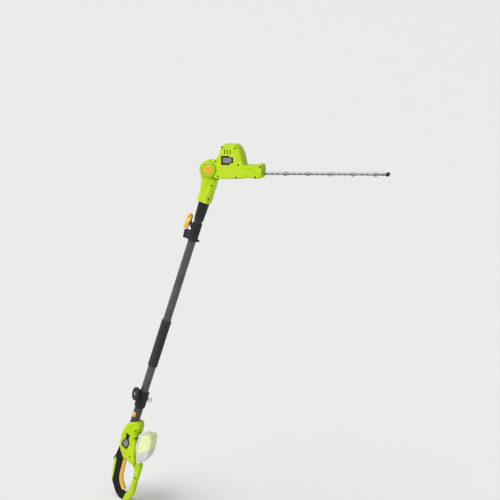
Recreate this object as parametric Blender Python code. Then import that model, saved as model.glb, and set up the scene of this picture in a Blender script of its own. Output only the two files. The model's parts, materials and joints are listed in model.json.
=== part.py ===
"""Cordless telescoping pole hedge trimmer, built as an assembly of separate pieces.

Frame: metres, +Z up the pole, +X towards the side where the blade points, -Y the side with the
tilt button.  The origin is on the pole's axis at mid-height of the rear grip.  Lengths below are
in millimetres and become metres when a piece is finished.
"""
import math

import bmesh
import bpy
from mathutils import Matrix, Vector

MM = 0.001
GAP = 0.3                     # clearance that touching pieces keep

# driving dimensions, millimetres
RIM_Z = 215.0                 # top rim of the handle housing above the origin
SOCKET_OD, SOCKET_ID = 36.0, 32.8
OUTER_OD, OUTER_ID = 32.0, 29.8
INNER_OD, INNER_ID = 29.0, 26.4
OUTER_BOTTOM, OUTER_TOP = 12.0, 868.0      # heights above the rim
INNER_BOTTOM, INNER_TOP = 165.0, 992.0
PIVOT_X, PIVOT_Z = -18.5, 1106.0           # tilt axis of the head, above the rim
HEAD_BEND = 70.0              # degrees between the pole and the blade at rest
LUG_RADIUS, LUG_HALF = 33.0, 16.5
HEAD_HALF = 31.0              # half width of the head housing
BLADE_V = -15.0               # height of the blade stack in the head's own frame
TOOTH_PITCH = 22.0
BOLT_PITCH = 4 * TOOTH_PITCH
FIRST_BOLT = 306.0
BLADE_END = 700.0
GEAR_MODULE, PINION_TEETH, GEAR_TEETH = 1.2, 10, 40
MOTOR_U = 90.0
GEAR_U = MOTOR_U + GEAR_MODULE * (PINION_TEETH + GEAR_TEETH) / 2

HANDLE_BODY = [(-17, 2, 0), (-28, -22, 16), (-31, -52, 30), (-26, -108, 0), (8, -147, 20), (40, -161, 0),
               (60, -168, 0), (61, -151, 0), (43, -84, 20), (39, -63, 0), (25, -54, 0), (39, -36, 0),
               (40, -8, 20), (34, 14, 0), (18, 18, 0)]
HANDLE_LOOP = [(-26, -104, 0), (-33, -166, 14), (-20, -257, 26), (18, -312, 30), (50, -330, 24),
               (82, -320, 24), (92, -284, 24), (88, -238, 60), (89, -160, 14), (76, -147, 0),
               (58, -148, 0), (30, -130, 0), (0, -100, 0)]
LOOP_HOLE = [(3, -156, 0), (9, -248, 24), (42, -297, 12), (58, -300, 12), (69, -284, 12), (69, -226, 28),
             (66, -186, 16), (52, -168, 14), (26, -157, 0)]
OVERMOULD = [(-60, -106, 0), (-20, -110, 0), (-17, -127, 0), (1, -149, 0), (9, -160, 0), (26, -250, 0),
             (60, -290, 0), (51, -350, 0), (-60, -350, 0), (-60, -258, 0), (-12, -258, 0), (-21, -172, 0),
             (-28, -163, 0), (-60, -160, 0)]
GRIP_CORE = [(-22, -112, 0), (-29, -167, 0), (-17, -255, 0), (20, -308, 0), (49, -325, 0), (62, -318, 0),
             (58, -304, 0), (40, -301, 0), (5, -250, 0), (-1, -158, 0), (-3, -130, 0)]
TRIGGER_WELL = [(-14, -128, 0), (-15, -185, 0), (-9, -254, 0), (26, -304, 0), (44, -292, 0), (60, -280, 0),
                (24, -150, 0), (14, -128, 0)]
TRIGGER = [(-7, -133, 0), (6, -133, 0), (16, -147, 8), (18, -190, 0), (23, -245, 22), (49, -281, 8),
           (44, -291, 6), (34, -287, 0), (2, -250, 18), (-4, -190, 0), (-9, -150, 0)]

HEAD_OUTLINE = [(0, 33, 0), (22, 36, 30), (46, 52, 26), (53, 84, 20), (62, 97, 14), (118, 97, 18),
                (138, 66, 50), (146, 17, 0), (186, 15, 30), (200, 20, 20), (219, 20, 14), (219, -35, 14),
                (190, -36, 20), (164, -31, 50), (128, -37, 50), (27, -37, 0), (10, -30, 0), (0, -29, 0)]
NECK_OUTLINE = [(-27, 975, 0), (-28, 1064, 0), (-22, 1078, 0), (16, 1078, 0), (24, 1070, 0), (24, 975, 0)]
EAR_OUTLINE = [(-25.2, 1000, 0), (-29.4, 1042, 30), (-52, 1092, 30), (-36, 1112, 0), (0, 1112, 0),
               (5, 1094, 0), (7, 1074, 0), (22.5, 1067, 0), (23, 1000, 0)]
BATTERY_OUTLINE = [(44, -39, 8), (59, -21, 12), (82, -12, 20), (101, -18, 14), (108, -63, 30), (108, -91, 20),
                   (105, -116, 14), (82, -144, 10), (69, -145, 9), (44.2, -81, 10)]
BATTERY_TOP = [(57, 20, 0), (130, 20, 0), (130, -64, 0), (103, -68, 12), (75, -97, 14), (57, -97, 0)]
BADGE_OUTLINE = [(-11, -39, 3), (7, -46, 3), (5, -60, 0), (16, -82, 6), (11, -110, 5), (-17, -99, 5),
                 (-16, -78, 6), (-8, -62, 0)]


# materials
def material(name, colour, roughness, metallic=0.0):
    made = bpy.data.materials.new(name)
    made.use_nodes = True
    shader = made.node_tree.nodes["Principled BSDF"]
    shader.inputs["Base Color"].default_value = (*colour, 1.0)
    shader.inputs["Roughness"].default_value = roughness
    shader.inputs["Metallic"].default_value = metallic
    return made


# shapes, in millimetres
def rounded(corners, segments=2):
    """Points of an outline whose corners are (x, z, radius)."""
    points = []
    for i, (x, z, radius) in enumerate(corners):
        here = Vector((x, z))
        if radius == 0:
            points.append(here)
            continue
        before = Vector(corners[i - 1][:2]) - here
        after = Vector(corners[(i + 1) % len(corners)][:2]) - here
        half_angle = before.angle(after) / 2
        reach = radius / math.tan(half_angle)
        reach = min(reach, before.length * 0.48, after.length * 0.48)
        radius = reach * math.tan(half_angle)
        start = here + before.normalized() * reach
        end = here + after.normalized() * reach
        middle = (before.normalized() + after.normalized()).normalized()
        centre = here + middle * radius / math.sin(half_angle)
        first = start - centre
        turn = first.angle_signed(end - centre)
        for step in range(segments + 1):
            points.append(centre + Matrix.Rotation(-turn * step / segments, 2) @ first)
    return points


def raw(mesh_or_bm):
    """A work object, in millimetres."""
    if isinstance(mesh_or_bm, bmesh.types.BMesh):
        mesh = bpy.data.meshes.new("work")
        mesh_or_bm.to_mesh(mesh)
        mesh_or_bm.free()
    else:
        mesh = mesh_or_bm
    obj = bpy.data.objects.new("work", mesh)
    bpy.context.scene.collection.objects.link(obj)
    return obj


def plate(outlines, half, edge=0.0, inset=0.0, steps=1):
    """Outlines in the XZ plane, thickened to +-half along Y with edges rounded by edge."""
    curve = bpy.data.curves.new("outline", "CURVE")
    curve.dimensions = "2D"
    curve.fill_mode = "BOTH"
    curve.extrude = half - edge
    curve.bevel_depth = edge
    curve.bevel_resolution = steps
    curve.offset = -(edge + inset)
    for outline in outlines:
        points = rounded(outline)
        spline = curve.splines.new("POLY")
        spline.points.add(len(points) - 1)
        for knot, point in zip(spline.points, points):
            knot.co = (point.x, point.y, 0, 1)
        spline.use_cyclic_u = True
    holder = bpy.data.objects.new("outline", curve)
    bpy.context.scene.collection.objects.link(holder)
    bpy.context.view_layer.update()
    mesh = bpy.data.meshes.new_from_object(holder.evaluated_get(bpy.context.evaluated_depsgraph_get()))
    bpy.data.objects.remove(holder)
    bm = bmesh.new()
    bm.from_mesh(mesh)
    bmesh.ops.remove_doubles(bm, verts=bm.verts, dist=0.002)
    bmesh.ops.rotate(bm, verts=bm.verts, matrix=Matrix.Rotation(math.pi / 2, 3, "X"))
    bmesh.ops.recalc_face_normals(bm, faces=bm.faces)
    return raw(bm)


def shift(obj, x=0, y=0, z=0):
    obj.data.transform(Matrix.Translation((x, y, z)))
    return obj


def turn(obj, degrees, axis, about=(0, 0, 0)):
    there = Matrix.Translation(about)
    obj.data.transform(there @ Matrix.Rotation(math.radians(degrees), 4, axis) @ there.inverted())
    return obj


def rod(radius, start, end, sides=20, radius_end=None):
    """A round bar from start to end."""
    start, end = Vector(start), Vector(end)
    along = end - start
    bm = bmesh.new()
    bmesh.ops.create_cone(bm, cap_ends=True, segments=sides, radius1=radius,
                          radius2=radius if radius_end is None else radius_end, depth=along.length)
    placed = Matrix.Translation((start + end) / 2) @ along.to_track_quat("Z", "Y").to_matrix().to_4x4()
    bmesh.ops.transform(bm, matrix=placed, verts=bm.verts)
    return raw(bm)


def block(low, high):
    """A box between two corners."""
    low, high = Vector(low), Vector(high)
    bm = bmesh.new()
    bmesh.ops.create_cube(bm, size=1)
    bmesh.ops.scale(bm, vec=high - low, verts=bm.verts)
    bmesh.ops.translate(bm, vec=(low + high) / 2, verts=bm.verts)
    return raw(bm)


def turned(profile, steps=28):
    """A ring or bar turned about Z from a closed profile of (radius, height)."""
    bm = bmesh.new()
    verts = [bm.verts.new((radius, 0, height)) for radius, height in profile]
    edges = [bm.edges.new((verts[i - 1], verts[i])) for i in range(len(verts))]
    bmesh.ops.spin(bm, geom=verts + edges, cent=(0, 0, 0), axis=(0, 0, 1), angle=math.tau,
                   steps=steps, use_merge=True)
    bmesh.ops.remove_doubles(bm, verts=bm.verts, dist=0.001)
    loose = [edge for edge in bm.edges if not edge.link_faces]
    bmesh.ops.delete(bm, geom=loose, context="EDGES")
    bmesh.ops.dissolve_degenerate(bm, edges=bm.edges, dist=0.0005)
    bmesh.ops.recalc_face_normals(bm, faces=bm.faces)
    return raw(bm)


def tube(outer, inner, low, high, steps=32):
    return turned([(inner, low), (outer, low), (outer, high), (inner, high)], steps)


def combine(base, others, operation):
    """Applies a Boolean of each of others to base, and removes them."""
    for other in others:
        modifier = base.modifiers.new(operation, "BOOLEAN")
        modifier.operation = operation
        modifier.solver = "EXACT"
        modifier.object = other
        bpy.context.view_layer.update()
        graph = bpy.context.evaluated_depsgraph_get()
        mesh = bpy.data.meshes.new_from_object(base.evaluated_get(graph))
        base.modifiers.clear()
        old, base.data = base.data, mesh
        bpy.data.meshes.remove(old)
        bpy.data.objects.remove(other)
    return base


def cut(base, *others):
    return combine(base, others, "DIFFERENCE")


def join(base, *others):
    return combine(base, others, "UNION")


def keep(base, *others):
    return combine(base, others, "INTERSECT")


def copy(obj):
    return raw(obj.data.copy())


def mirror(obj):
    """Swaps a shape to the other side of the mid-plane."""
    obj.data.transform(Matrix.Scale(-1, 4, (0, 1, 0)))
    obj.data.flip_normals()
    return obj


def half_space(side):
    """The part of space on one side of the mid-plane: side -1 is -Y, +1 is +Y."""
    near, far = sorted((side * 0.15, side * 400))
    return block((-900, near, -900), (900, far, 2500))


def gear(teeth, module, low, high, bore):
    """A spur gear about Z with trapezoid teeth that leave some backlash."""
    pitch, share = module * teeth / 2, 0.40
    outline = []
    for tooth in range(teeth):
        middle = math.tau * tooth / teeth
        for radius, width in ((pitch - 1.15 * module, 0.62), (pitch + 0.85 * module, 0.26)):
            outline.append((radius, middle - math.pi / teeth * width * 2 * share / 0.8))
        for radius, width in ((pitch + 0.85 * module, 0.26), (pitch - 1.15 * module, 0.62)):
            outline.append((radius, middle + math.pi / teeth * width * 2 * share / 0.8))
    bm = bmesh.new()
    face = bm.faces.new([bm.verts.new((r * math.cos(a), r * math.sin(a), low)) for r, a in outline])
    lifted = bmesh.ops.extrude_face_region(bm, geom=[face])
    moved = [item for item in lifted["geom"] if isinstance(item, bmesh.types.BMVert)]
    bmesh.ops.translate(bm, vec=(0, 0, high - low), verts=moved)
    bmesh.ops.recalc_face_normals(bm, faces=bm.faces)
    made = raw(bm)
    return cut(made, rod(bore, (0, 0, low - 5), (0, 0, high + 5), 16)) if bore else made


# finishing
def empty(name, location, tilt=0.0, parent=None):
    """A frame to hang pieces on, at a place in millimetres, turned about Y by tilt degrees."""
    made = bpy.data.objects.new(name, None)
    bpy.context.scene.collection.objects.link(made)
    made.location = Vector(location) * MM
    made.rotation_euler = (0, math.radians(tilt), 0)
    made.parent = parent
    return made


def finish(name, obj, mat, parent, origin=(0, 0, 0)):
    """Names a piece, scales it to metres and sets its origin, in millimetres in its parent's frame."""
    obj.name = name
    obj.data.name = name
    bm = bmesh.new()
    bm.from_mesh(obj.data)
    bmesh.ops.dissolve_limit(bm, angle_limit=math.radians(0.2), verts=bm.verts, edges=bm.edges)
    bm.to_mesh(obj.data)
    bm.free()
    obj.data.transform(Matrix.Scale(MM, 4) @ Matrix.Translation(-Vector(origin)))
    obj.location = Vector(origin) * MM
    obj.parent = parent
    obj.data.materials.clear()
    obj.data.materials.append(mat)
    obj.data.shade_smooth()
    obj.data.set_sharp_from_angle(angle=math.radians(35))
    return obj


# handle
# x, z, half thickness of the housing there, boss radius
HANDLE_SCREWS = ((23.6, -20, 27, 4.6), (33, -134, 27, 4.8), (79, -216, 15, 4.6))
LOCK_SLOT = ((-60, -7.6, -184), (-12, 7.6, -160))


def screw(x, z, head_y, end_y):
    """A pan head screw along +Y; the inner face of its head is at head_y."""
    head = rod(3.3, (x, head_y - 2.3, z), (x, head_y, z), 12)
    made = join(head, rod(1.6, (x, head_y - 1, z), (x, end_y, z), 10))
    return cut(made, rod(1.6, (x, head_y - 4, z), (x, head_y - 1.2, z), 6))


def bossed(shell, side, screws, depth):
    """Screw posts on the inside of a shell; the near shell also gets the pockets for the heads."""
    for x, z, surface, boss in screws:
        if boss:
            shell = join(shell, rod(boss, (x, side * 0.15, z), (x, side * (surface - 2), z), 12))
        if side < 0:
            shell = cut(shell, rod(3.7, (x, -60, z), (x, -surface + depth, z), 16),
                        rod(1.95, (x, -surface, z), (x, 5, z), 10))
        else:
            shell = cut(shell, rod(1.95, (x, -5, z), (x, surface - 6, z), 10))
    return shell


def add_screws(name, screws, depth, mat, frame):
    for i, (x, z, surface, _) in enumerate(screws):
        finish(f"{name}_{i + 1}", screw(x, z, -surface + depth - 0.3, surface - 7), mat, frame,
               (x, -surface + depth, z))


def make_handle(frame, mats):
    form = join(plate([HANDLE_BODY], 27, 8), plate([HANDLE_LOOP, LOOP_HOLE], 15, 5))
    cavity = join(plate([HANDLE_BODY], 24, 4, inset=3), plate([HANDLE_LOOP, LOOP_HOLE], 11.5, 2, inset=3.5))
    for side, name in ((-1, "left"), (1, "right")):
        shell = cut(copy(form), plate([OVERMOULD], 60), copy(cavity))
        shell = join(shell, plate([GRIP_CORE], 12))
        shell = keep(shell, half_space(side))
        shell = bossed(shell, side, HANDLE_SCREWS, 5.5)
        shell = cut(shell, rod(SOCKET_OD / 2 + GAP, (0, 0, -46.3), (0, 0, 60), 32),
                    plate([TRIGGER_WELL], 9.8), block(*LOCK_SLOT),
                    block((20, -5.8, -104.5), (60, 5.8, -66.5)),
                    shift(plate([BADGE_OUTLINE], 1.4, inset=-GAP), 0, side * 27),
                    rod(2.8, (4, -14, -140), (4, 14, -140), 12),
                    block((-9, -7.2, -133), (11, 7.2, -109)))
        for vent in range(3):
            slot = block((22, side * 40, -13 - 10 * vent), (60, side * 14, -9.4 - 10 * vent))
            shell = cut(shell, turn(slot, -16, "Y", (30, 0, -14 - 10 * vent)))
        finish(f"handle_shell_{name}", shell, mats["green"], frame)

        skin = keep(copy(form), plate([OVERMOULD], 60, inset=GAP))
        skin = cut(skin, plate([GRIP_CORE], 12 + GAP, inset=-GAP), plate([HANDLE_BODY], 24, 4, inset=3),
                   plate([TRIGGER_WELL], 9.8), block(*LOCK_SLOT))
        skin = keep(skin, half_space(-1))
        if side > 0:
            mirror(skin)
        finish(f"grip_overmould_{name}", skin, mats["rubber"], frame)
        face = shift(plate([BADGE_OUTLINE], 0.55), 0, side * 26.2)
        finish(f"handle_badge_{name}", face, mats["plastic"], frame)
    for work in (form, cavity):
        bpy.data.objects.remove(work)
    add_screws("handle_screw", HANDLE_SCREWS, 5.5, mats["steel"], frame)

    rail = join(block((30.5, -16, -104), (34.5, 16, -67)), block((34, -5.4, -104), (47.6, 5.4, -67)),
                block((46.2, -11, -94), (50, 11, -62)))
    finish("battery_rail", cut(rail, block((52, -3, -200), (40, 3, -71))), mats["plastic"], frame)
    switch = join(block((14, -8, -127), (32, 8, -108.5)), block((6.8, -3, -122), (15, 3, -116)))
    finish("trigger_switch", switch, mats["plastic"], frame)
    finish("trigger_pin", rod(2.5, (4, -13.7, -140), (4, 13.7, -140), 16), mats["steel"], frame, (4, 0, -140))


def make_trigger(frame, mats):
    paddle = plate([TRIGGER], 9.2, 2)
    paddle = join(paddle, plate([[(-5, -145, 0), (-6, -113, 0), (3, -113, 0), (8, -140, 0)]], 6))
    finish("trigger_paddle", shift(cut(paddle, rod(2.8, (4, -20, -140), (4, 20, -140), 16)), -4, 0, 140),
           mats["yellow"], frame)


def make_lock_off(frame, mats):
    button = plate([[(-36, -164, 2), (-38.5, -172, 4), (-35.5, -180, 2), (-27, -180, 0), (-27, -164, 0)]],
                   6.8, 1.5)
    button = join(button, block((-28, -5, -177), (-18, 5, -167)))
    finish("lock_off_button", button, mats["plastic"], frame)


# pole
BUTTON_ANGLE = -110.0         # where the tube's push button sits, degrees about the pole from +X
KNOB_ANGLE = -135.0
KNOB_Z = 130.0


def along(angle, distance, z=0.0):
    """A point at a distance out from the pole's axis."""
    return (distance * math.cos(math.radians(angle)), distance * math.sin(math.radians(angle)), z)


def make_lower_pole(frame, mats):
    button_hole = block((5, -7.3, 31.7), (40, 7.3, 52.3))
    turn(button_hole, BUTTON_ANGLE, "Z")
    socket = tube(SOCKET_OD / 2, SOCKET_ID / 2, -46, 74, 28)
    finish("socket_tube", cut(socket, copy(button_hole)), mats["tube_black"], frame)
    outer = tube(OUTER_OD / 2, OUTER_ID / 2, OUTER_BOTTOM, OUTER_TOP, 28)
    finish("outer_tube", cut(outer, button_hole), mats["tube_grey"], frame)

    collar = turned([(16.3, 76), (20.5, 76), (22.5, 79), (22.5, 143), (20.5, 146), (16.3, 146)], 28)
    collar = join(collar, rod(9, along(KNOB_ANGLE, 19, KNOB_Z), along(KNOB_ANGLE, 25.4, KNOB_Z), 20),
                  block((20, -5, 112), (23.7, 5, 125)))
    collar = cut(collar, rod(3.3, along(KNOB_ANGLE, 10, KNOB_Z), along(KNOB_ANGLE, 40, KNOB_Z), 16),
                 rod(2.8, (18.5, 0, 118.6), (40, 0, 118.6), 16),
                 block((18.5, -3.4, 114), (30, 3.4, 123.2)))
    finish("coupler_collar", collar, mats["plastic"], frame)
    eye = cut(rod(9.5, (33.5, -1.9, 118.6), (33.5, 1.9, 118.6), 24),
              rod(5.6, (33.5, -5, 118.6), (33.5, 5, 118.6), 20))
    eye = join(eye, block((18.9, -1.9, 115.4), (26, 1.9, 121.8)))
    finish("strap_eye", eye, mats["steel"], frame, (33.5, 0, 118.6))

    grip = turned([(16.3, 260), (18.4, 260), (20.2, 262.5), (19.5, 271), (19.5, 451), (20.2, 459.5),
                   (18.4, 462), (16.3, 462)], 28)
    finish("foam_grip", grip, mats["foam"], frame, (0, 0, 361))


def make_tube_button(frame, mats):
    button = join(block((11.5, -6.8, 32.2), (20, 6.8, 51.8)), block((9, -7.8, 30.5), (12.2, 7.8, 53.5)))
    bm = bmesh.new()
    bm.from_mesh(button.data)
    rim = [edge for edge in bm.edges if all(vert.co.x > 19.9 for vert in edge.verts)]
    bmesh.ops.bevel(bm, geom=rim, offset=1.2, segments=2, affect="EDGES", profile=0.5, material=-1)
    bm.to_mesh(button.data)
    bm.free()
    finish("tube_button", turn(button, BUTTON_ANGLE, "Z"), mats["yellow"], frame)


def make_knob(frame, mats):
    """The knob is made about Z and its frame's Z points away from the pole."""
    knob = turned([(3.2, 26), (15, 26), (17, 28), (25.5, 28), (27.5, 30), (27.5, 37), (25.5, 38.5), (8, 38.5),
                   (8, 36), (3.2, 36)], 28)
    for i in range(10):
        knob = cut(knob, rod(4, (30.2 * math.cos(i * math.tau / 10), 30.2 * math.sin(i * math.tau / 10), 20),
                             (30.2 * math.cos(i * math.tau / 10), 30.2 * math.sin(i * math.tau / 10), 45),
                             12))
    finish("coupler_knob", knob, mats["plastic"], frame)
    finish("knob_bolt", join(rod(2.9, (0, 0, 16.6), (0, 0, 37), 16), rod(7.4, (0, 0, 36.3), (0, 0, 39.4), 6)),
           mats["steel"], frame)


LEVER_X, LEVER_Z = -39.0, 897.0


def make_clamp(frame, mats):
    body = turned([(0, 809), (18.4, 809), (19.4, 811), (19.4, 878), (17.6, 887), (0, 887)], 28)
    body = join(body, plate([[(-16, 812, 0), (-39, 810, 4), (-42, 845, 5), (-16, 846, 0)]], 9.5, 2),
                plate([[(-16, 868, 0), (-27, 882, 10), (-28, 906, 8), (-40, 909, 8), (-46, 902, 6),
                        (-46, 892, 6), (-36, 886, 6), (-30, 866, 10), (-16, 852, 0)]], 4.4, 1),
                rod(6.4, (0, 0, 816.5), (21.5, 0, 816.5), 16))
    body = cut(body, rod(OUTER_OD / 2 + GAP, (0, 0, 790), (0, 0, 868.5), 28),
               rod(14.8, (0, 0, 860), (0, 0, 900), 28),
               rod(2.7, (LEVER_X, -20, LEVER_Z), (LEVER_X, 20, LEVER_Z), 12),
               rod(2.6, (14, 0, 816.5), (40, 0, 816.5), 12))
    finish("clamp_body", body, mats["plastic"], frame)
    finish("clamp_pin", rod(2.4, (LEVER_X, -9.2, LEVER_Z), (LEVER_X, 9.2, LEVER_Z), 16), mats["steel"], frame,
           (LEVER_X, 0, LEVER_Z))
    nub = join(rod(2.3, (17, 0, 816.5), (25, 0, 816.5), 12), rod(4.6, (21.9, 0, 816.5), (28, 0, 816.5), 12))
    finish("clamp_screw", nub, mats["plastic"], frame)


def make_lever(frame, mats):
    lever = plate([[(-50, 897, 0), (-48.5, 858, 30), (-52, 848, 6), (-34, 848, 5), (-32, 872, 20),
                    (-29, 884, 0), (-31, 897, 0)]], 8.6, 2)
    lever = join(lever, rod(11, (LEVER_X, -8.6, LEVER_Z), (LEVER_X, 8.6, LEVER_Z), 28))
    lever = cut(lever, rod(2.7, (LEVER_X, -20, LEVER_Z), (LEVER_X, 20, LEVER_Z), 12),
                block((-70, -4.8, 872), (-10, 4.8, 930)))
    finish("clamp_lever", shift(lever, -LEVER_X, 0, -LEVER_Z), mats["yellow"], frame)


# upper pole and tilt joint
NECK_SCREWS = ((18.6, 994, 26, 0), (14.6, 1050, 26, 0))
PIVOT = (PIVOT_X, 0, PIVOT_Z)


def make_upper_pole(frame, mats):
    finish("inner_tube", tube(INNER_OD / 2, INNER_ID / 2, INNER_BOTTOM, INNER_TOP, 28), mats["tube_black"],
           frame)
    bush = turned([(9, 157), (14.7, 157), (14.7, INNER_BOTTOM - GAP), (12.9, INNER_BOTTOM - GAP),
                   (12.9, 185), (9, 185)], 32)
    finish("guide_bush", bush, mats["plastic"], frame)
    sleeve = turned([(14.8, 893), (17.4, 893), (18.8, 900), (20.2, 925), (22, 974.6), (16.8, 974.6),
                     (16.8, 1006), (14.8, 1006)], 28)
    finish("neck_sleeve", sleeve, mats["plastic"], frame)

    form = plate([NECK_OUTLINE], 26, 8)
    dome = [(35, 17.3), (35, 28), (32, 33), (25, 37)]
    pockets = {-1: [(20.2, 37), (20.2, 24), (14.4, 24), (14.4, 17.3)],
               1: [(12.5, 37), (12.5, 31), (4.3, 31), (4.3, 17.3)]}
    for side in (-1, 1):
        ear = shift(plate([EAR_OUTLINE], 5.6, 3.6), 0, side * 22)
        ear = cut(ear, rod(30, (PIVOT_X, -60, PIVOT_Z), (PIVOT_X, 60, PIVOT_Z), 28))
        knuckle = turn(turned(dome + pockets[side], 32), -90 * side, "X")
        form = join(form, ear, shift(knuckle, PIVOT_X, 0, PIVOT_Z))
    form = cut(form, rod(LUG_RADIUS + 1, (PIVOT_X, -LUG_HALF - 0.6, PIVOT_Z),
                         (PIVOT_X, LUG_HALF + 0.6, PIVOT_Z), 36),
               rod(17.1, (0, 0, 940), (0, 0, 1006.3), 28))
    form = cut(form, block((-70, -LUG_HALF - 0.5, 1079), (40, LUG_HALF + 0.5, 1150)))
    for side, name in ((-1, "left"), (1, "right")):
        shell = keep(copy(form), half_space(side))
        finish(f"neck_shell_{name}", bossed(shell, side, NECK_SCREWS, 5.5), mats["green"], frame)
    bpy.data.objects.remove(form)
    add_screws("neck_screw", NECK_SCREWS, 5.5, mats["steel"], frame)
    axle = join(rod(4, (PIVOT_X, -18, PIVOT_Z), (PIVOT_X, 33, PIVOT_Z), 20),
                rod(11.8, (PIVOT_X, 31.4, PIVOT_Z), (PIVOT_X, 36, PIVOT_Z), 32, radius_end=10.8))
    finish("pivot_axle", cut(axle, block((PIVOT_X - 9, 34.8, PIVOT_Z - 1), (PIVOT_X + 9, 40, PIVOT_Z + 1))),
           mats["steel"], frame, PIVOT)


def make_pivot_button(frame, mats):
    """Its frame sits on the tilt axis and its local Z points out at the user."""
    button = turned([(0, 38.4), (10, 38.2), (17.4, 36.6), (19.6, 34.4), (19.6, 28.6), (9, 28.6), (9, 20),
                     (4.5, 20), (4.5, 26), (0, 26)], 28)
    finish("tilt_button", button, mats["yellow"], frame)
    teeth = gear(26, 1.0, 10.4, 19.6, 4.4)
    finish("tilt_lock_gear", teeth, mats["steel"], frame)


# head, in its own frame: X along the blade, Z across it away from the pole
HEAD_SCREWS = ((114, 82, 31, 5), (62, 86, 31, 4.6), (34, 32, 31, 4.6), (124, 18, 31, 4.6), (211, 11, 31, 4.6),
               (41, -26, 31, 4.6), (116, -30, 31, 4.6), (192, -28.6, 31, 4.2))
BAR_TOP = BLADE_V - 2.8
BOLTS = [FIRST_BOLT + BOLT_PITCH * i for i in range(5)]
CRANK = TOOTH_PITCH / 4
BLADE_TEETH = 20


def make_head_shells(frame, mats):
    form = join(plate([HEAD_OUTLINE], HEAD_HALF, 8),
                rod(LUG_RADIUS, (0, -LUG_HALF, 0), (0, LUG_HALF, 0), 36))
    cavity = plate([HEAD_OUTLINE], HEAD_HALF - 3, 4, inset=3)
    cavity = keep(cavity, block((44, -60, -60), (164, 60, 120)))
    form = cut(form, cavity)
    for side in (-1, 1):
        form = cut(form, rod(36.2, (0, side * (LUG_HALF + 0.01), 0), (0, side * 60, 0), 36))
    bore = turned([(0, -60), (4.3, -60), (4.3, 5.8), (14.4, 5.8), (14.4, 60), (0, 60)], 28)
    form = cut(form, turn(bore, 90, "X"),
               block((136, -15.3, BAR_TOP), (240, 15.3, BLADE_V + 2.6)),
               block((147, -10.3, BAR_TOP - 3.5), (240, 10.3, BAR_TOP + 1)),
               block((136, -15.3, -14), (160, 15.3, -9)))
    for side, name in ((-1, "left"), (1, "right")):
        shell = bossed(keep(copy(form), half_space(side)), side, HEAD_SCREWS, 5.5)
        for u in (71.5, 83, 94.5):
            shell = cut(shell, block((u - 1.8, side * 60, 60), (u + 1.8, side * 26, 78)))
        recess = join(block((55.5, side * 40, 17.5), (91.5, side * 29.6, 53.5)),
                      block((84, side * 40, 24.5), (105.5, side * 29.6, 47.5)))
        finish(f"head_shell_{name}", cut(shell, recess), mats["green"], frame)
        face = join(block((56, side * 29.9, 18), (91, side * 30.9, 53)),
                    block((84, side * 29.9, 25), (105, side * 30.9, 47)))
        finish(f"head_badge_{name}", face, mats["plastic"], frame)
    bpy.data.objects.remove(form)
    add_screws("head_screw", HEAD_SCREWS, 5.5, mats["steel"], frame)


def make_drive(frame, mats):
    motor = cut(rod(17, (MOTOR_U, 0, 24), (MOTOR_U, 0, 84), 32),
                rod(3, (MOTOR_U, 0, 20), (MOTOR_U, 0, 60), 16))
    finish("motor_can", motor, mats["steel"], frame, (MOTOR_U, 0, 24))
    chassis = block((70, -22, 10.1), (142, 22, 12.3))
    chassis = cut(chassis, rod(4.4, (GEAR_U, 0, 0), (GEAR_U, 0, 30), 16),
                  rod(3, (MOTOR_U, 0, 0), (MOTOR_U, 0, 30), 16))
    finish("gear_chassis", chassis, mats["steel"], frame)


def make_pinion(frame, mats):
    shaft = rod(2.6, (0, 0, 2), (0, 0, 58), 16)
    teeth = turn(gear(PINION_TEETH, GEAR_MODULE, 2.5, 9.5, 0), 180 / PINION_TEETH, "Z")
    finish("motor_pinion", join(teeth, shaft), mats["steel"], frame)


def make_drive_gear(frame, mats):
    wheel = gear(GEAR_TEETH, GEAR_MODULE, 2.5, 9.5, 0)
    wheel = join(wheel, rod(4, (0, 0, 9), (0, 0, 12.8), 16), rod(9, (0, CRANK, -5), (0, CRANK, 2.8), 24),
                 rod(9, (0, -CRANK, -11.8), (0, -CRANK, -4.8), 24))
    finish("drive_gear", wheel, mats["steel"], frame)


def blade(low, name, mats, frame):
    """A flat cutting blade: a yoke, a shank, and teeth down both edges."""
    outline = [(GEAR_U - 18, -20), (GEAR_U + 18, -20), (GEAR_U + 18, -14), (228, -14), (234, -19)]
    teeth = []
    for tooth in range(BLADE_TEETH):
        middle = 251 + TOOTH_PITCH * tooth
        if middle + 11 > BLADE_END - 8:
            break
        teeth += [(middle - 7.4, 19), (middle - 2.6, 35), (middle + 2.6, 35), (middle + 7.4, 19)]
    outline += [(u, -y) for u, y in teeth] + [(BLADE_END - 22, -19), (BLADE_END - 8, -10)]
    outline += [(u, -y) for u, y in reversed(outline)]
    bm = bmesh.new()
    face = bm.faces.new([bm.verts.new((u, y, low)) for u, y in outline])
    lifted = bmesh.ops.extrude_face_region(bm, geom=[face])
    moved = [item for item in lifted["geom"] if isinstance(item, bmesh.types.BMVert)]
    bmesh.ops.translate(bm, vec=(0, 0, 2.2), verts=moved)
    bmesh.ops.recalc_face_normals(bm, faces=bm.faces)
    made = raw(bm)
    for u in BOLTS:
        made = cut(made, join(block((u - CRANK - 0.5, -3.7, low - 5), (u + CRANK + 0.5, 3.7, low + 5)),
                              rod(3.7, (u - CRANK - 0.5, 0, low - 5), (u - CRANK - 0.5, 0, low + 5), 12),
                              rod(3.7, (u + CRANK + 0.5, 0, low - 5), (u + CRANK + 0.5, 0, low + 5), 12)))
    made = cut(made, block((GEAR_U - 9.4, -15, low - 5), (GEAR_U + 9.4, 15, low + 5)))
    finish(name, made, mats["blade"], frame)


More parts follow.
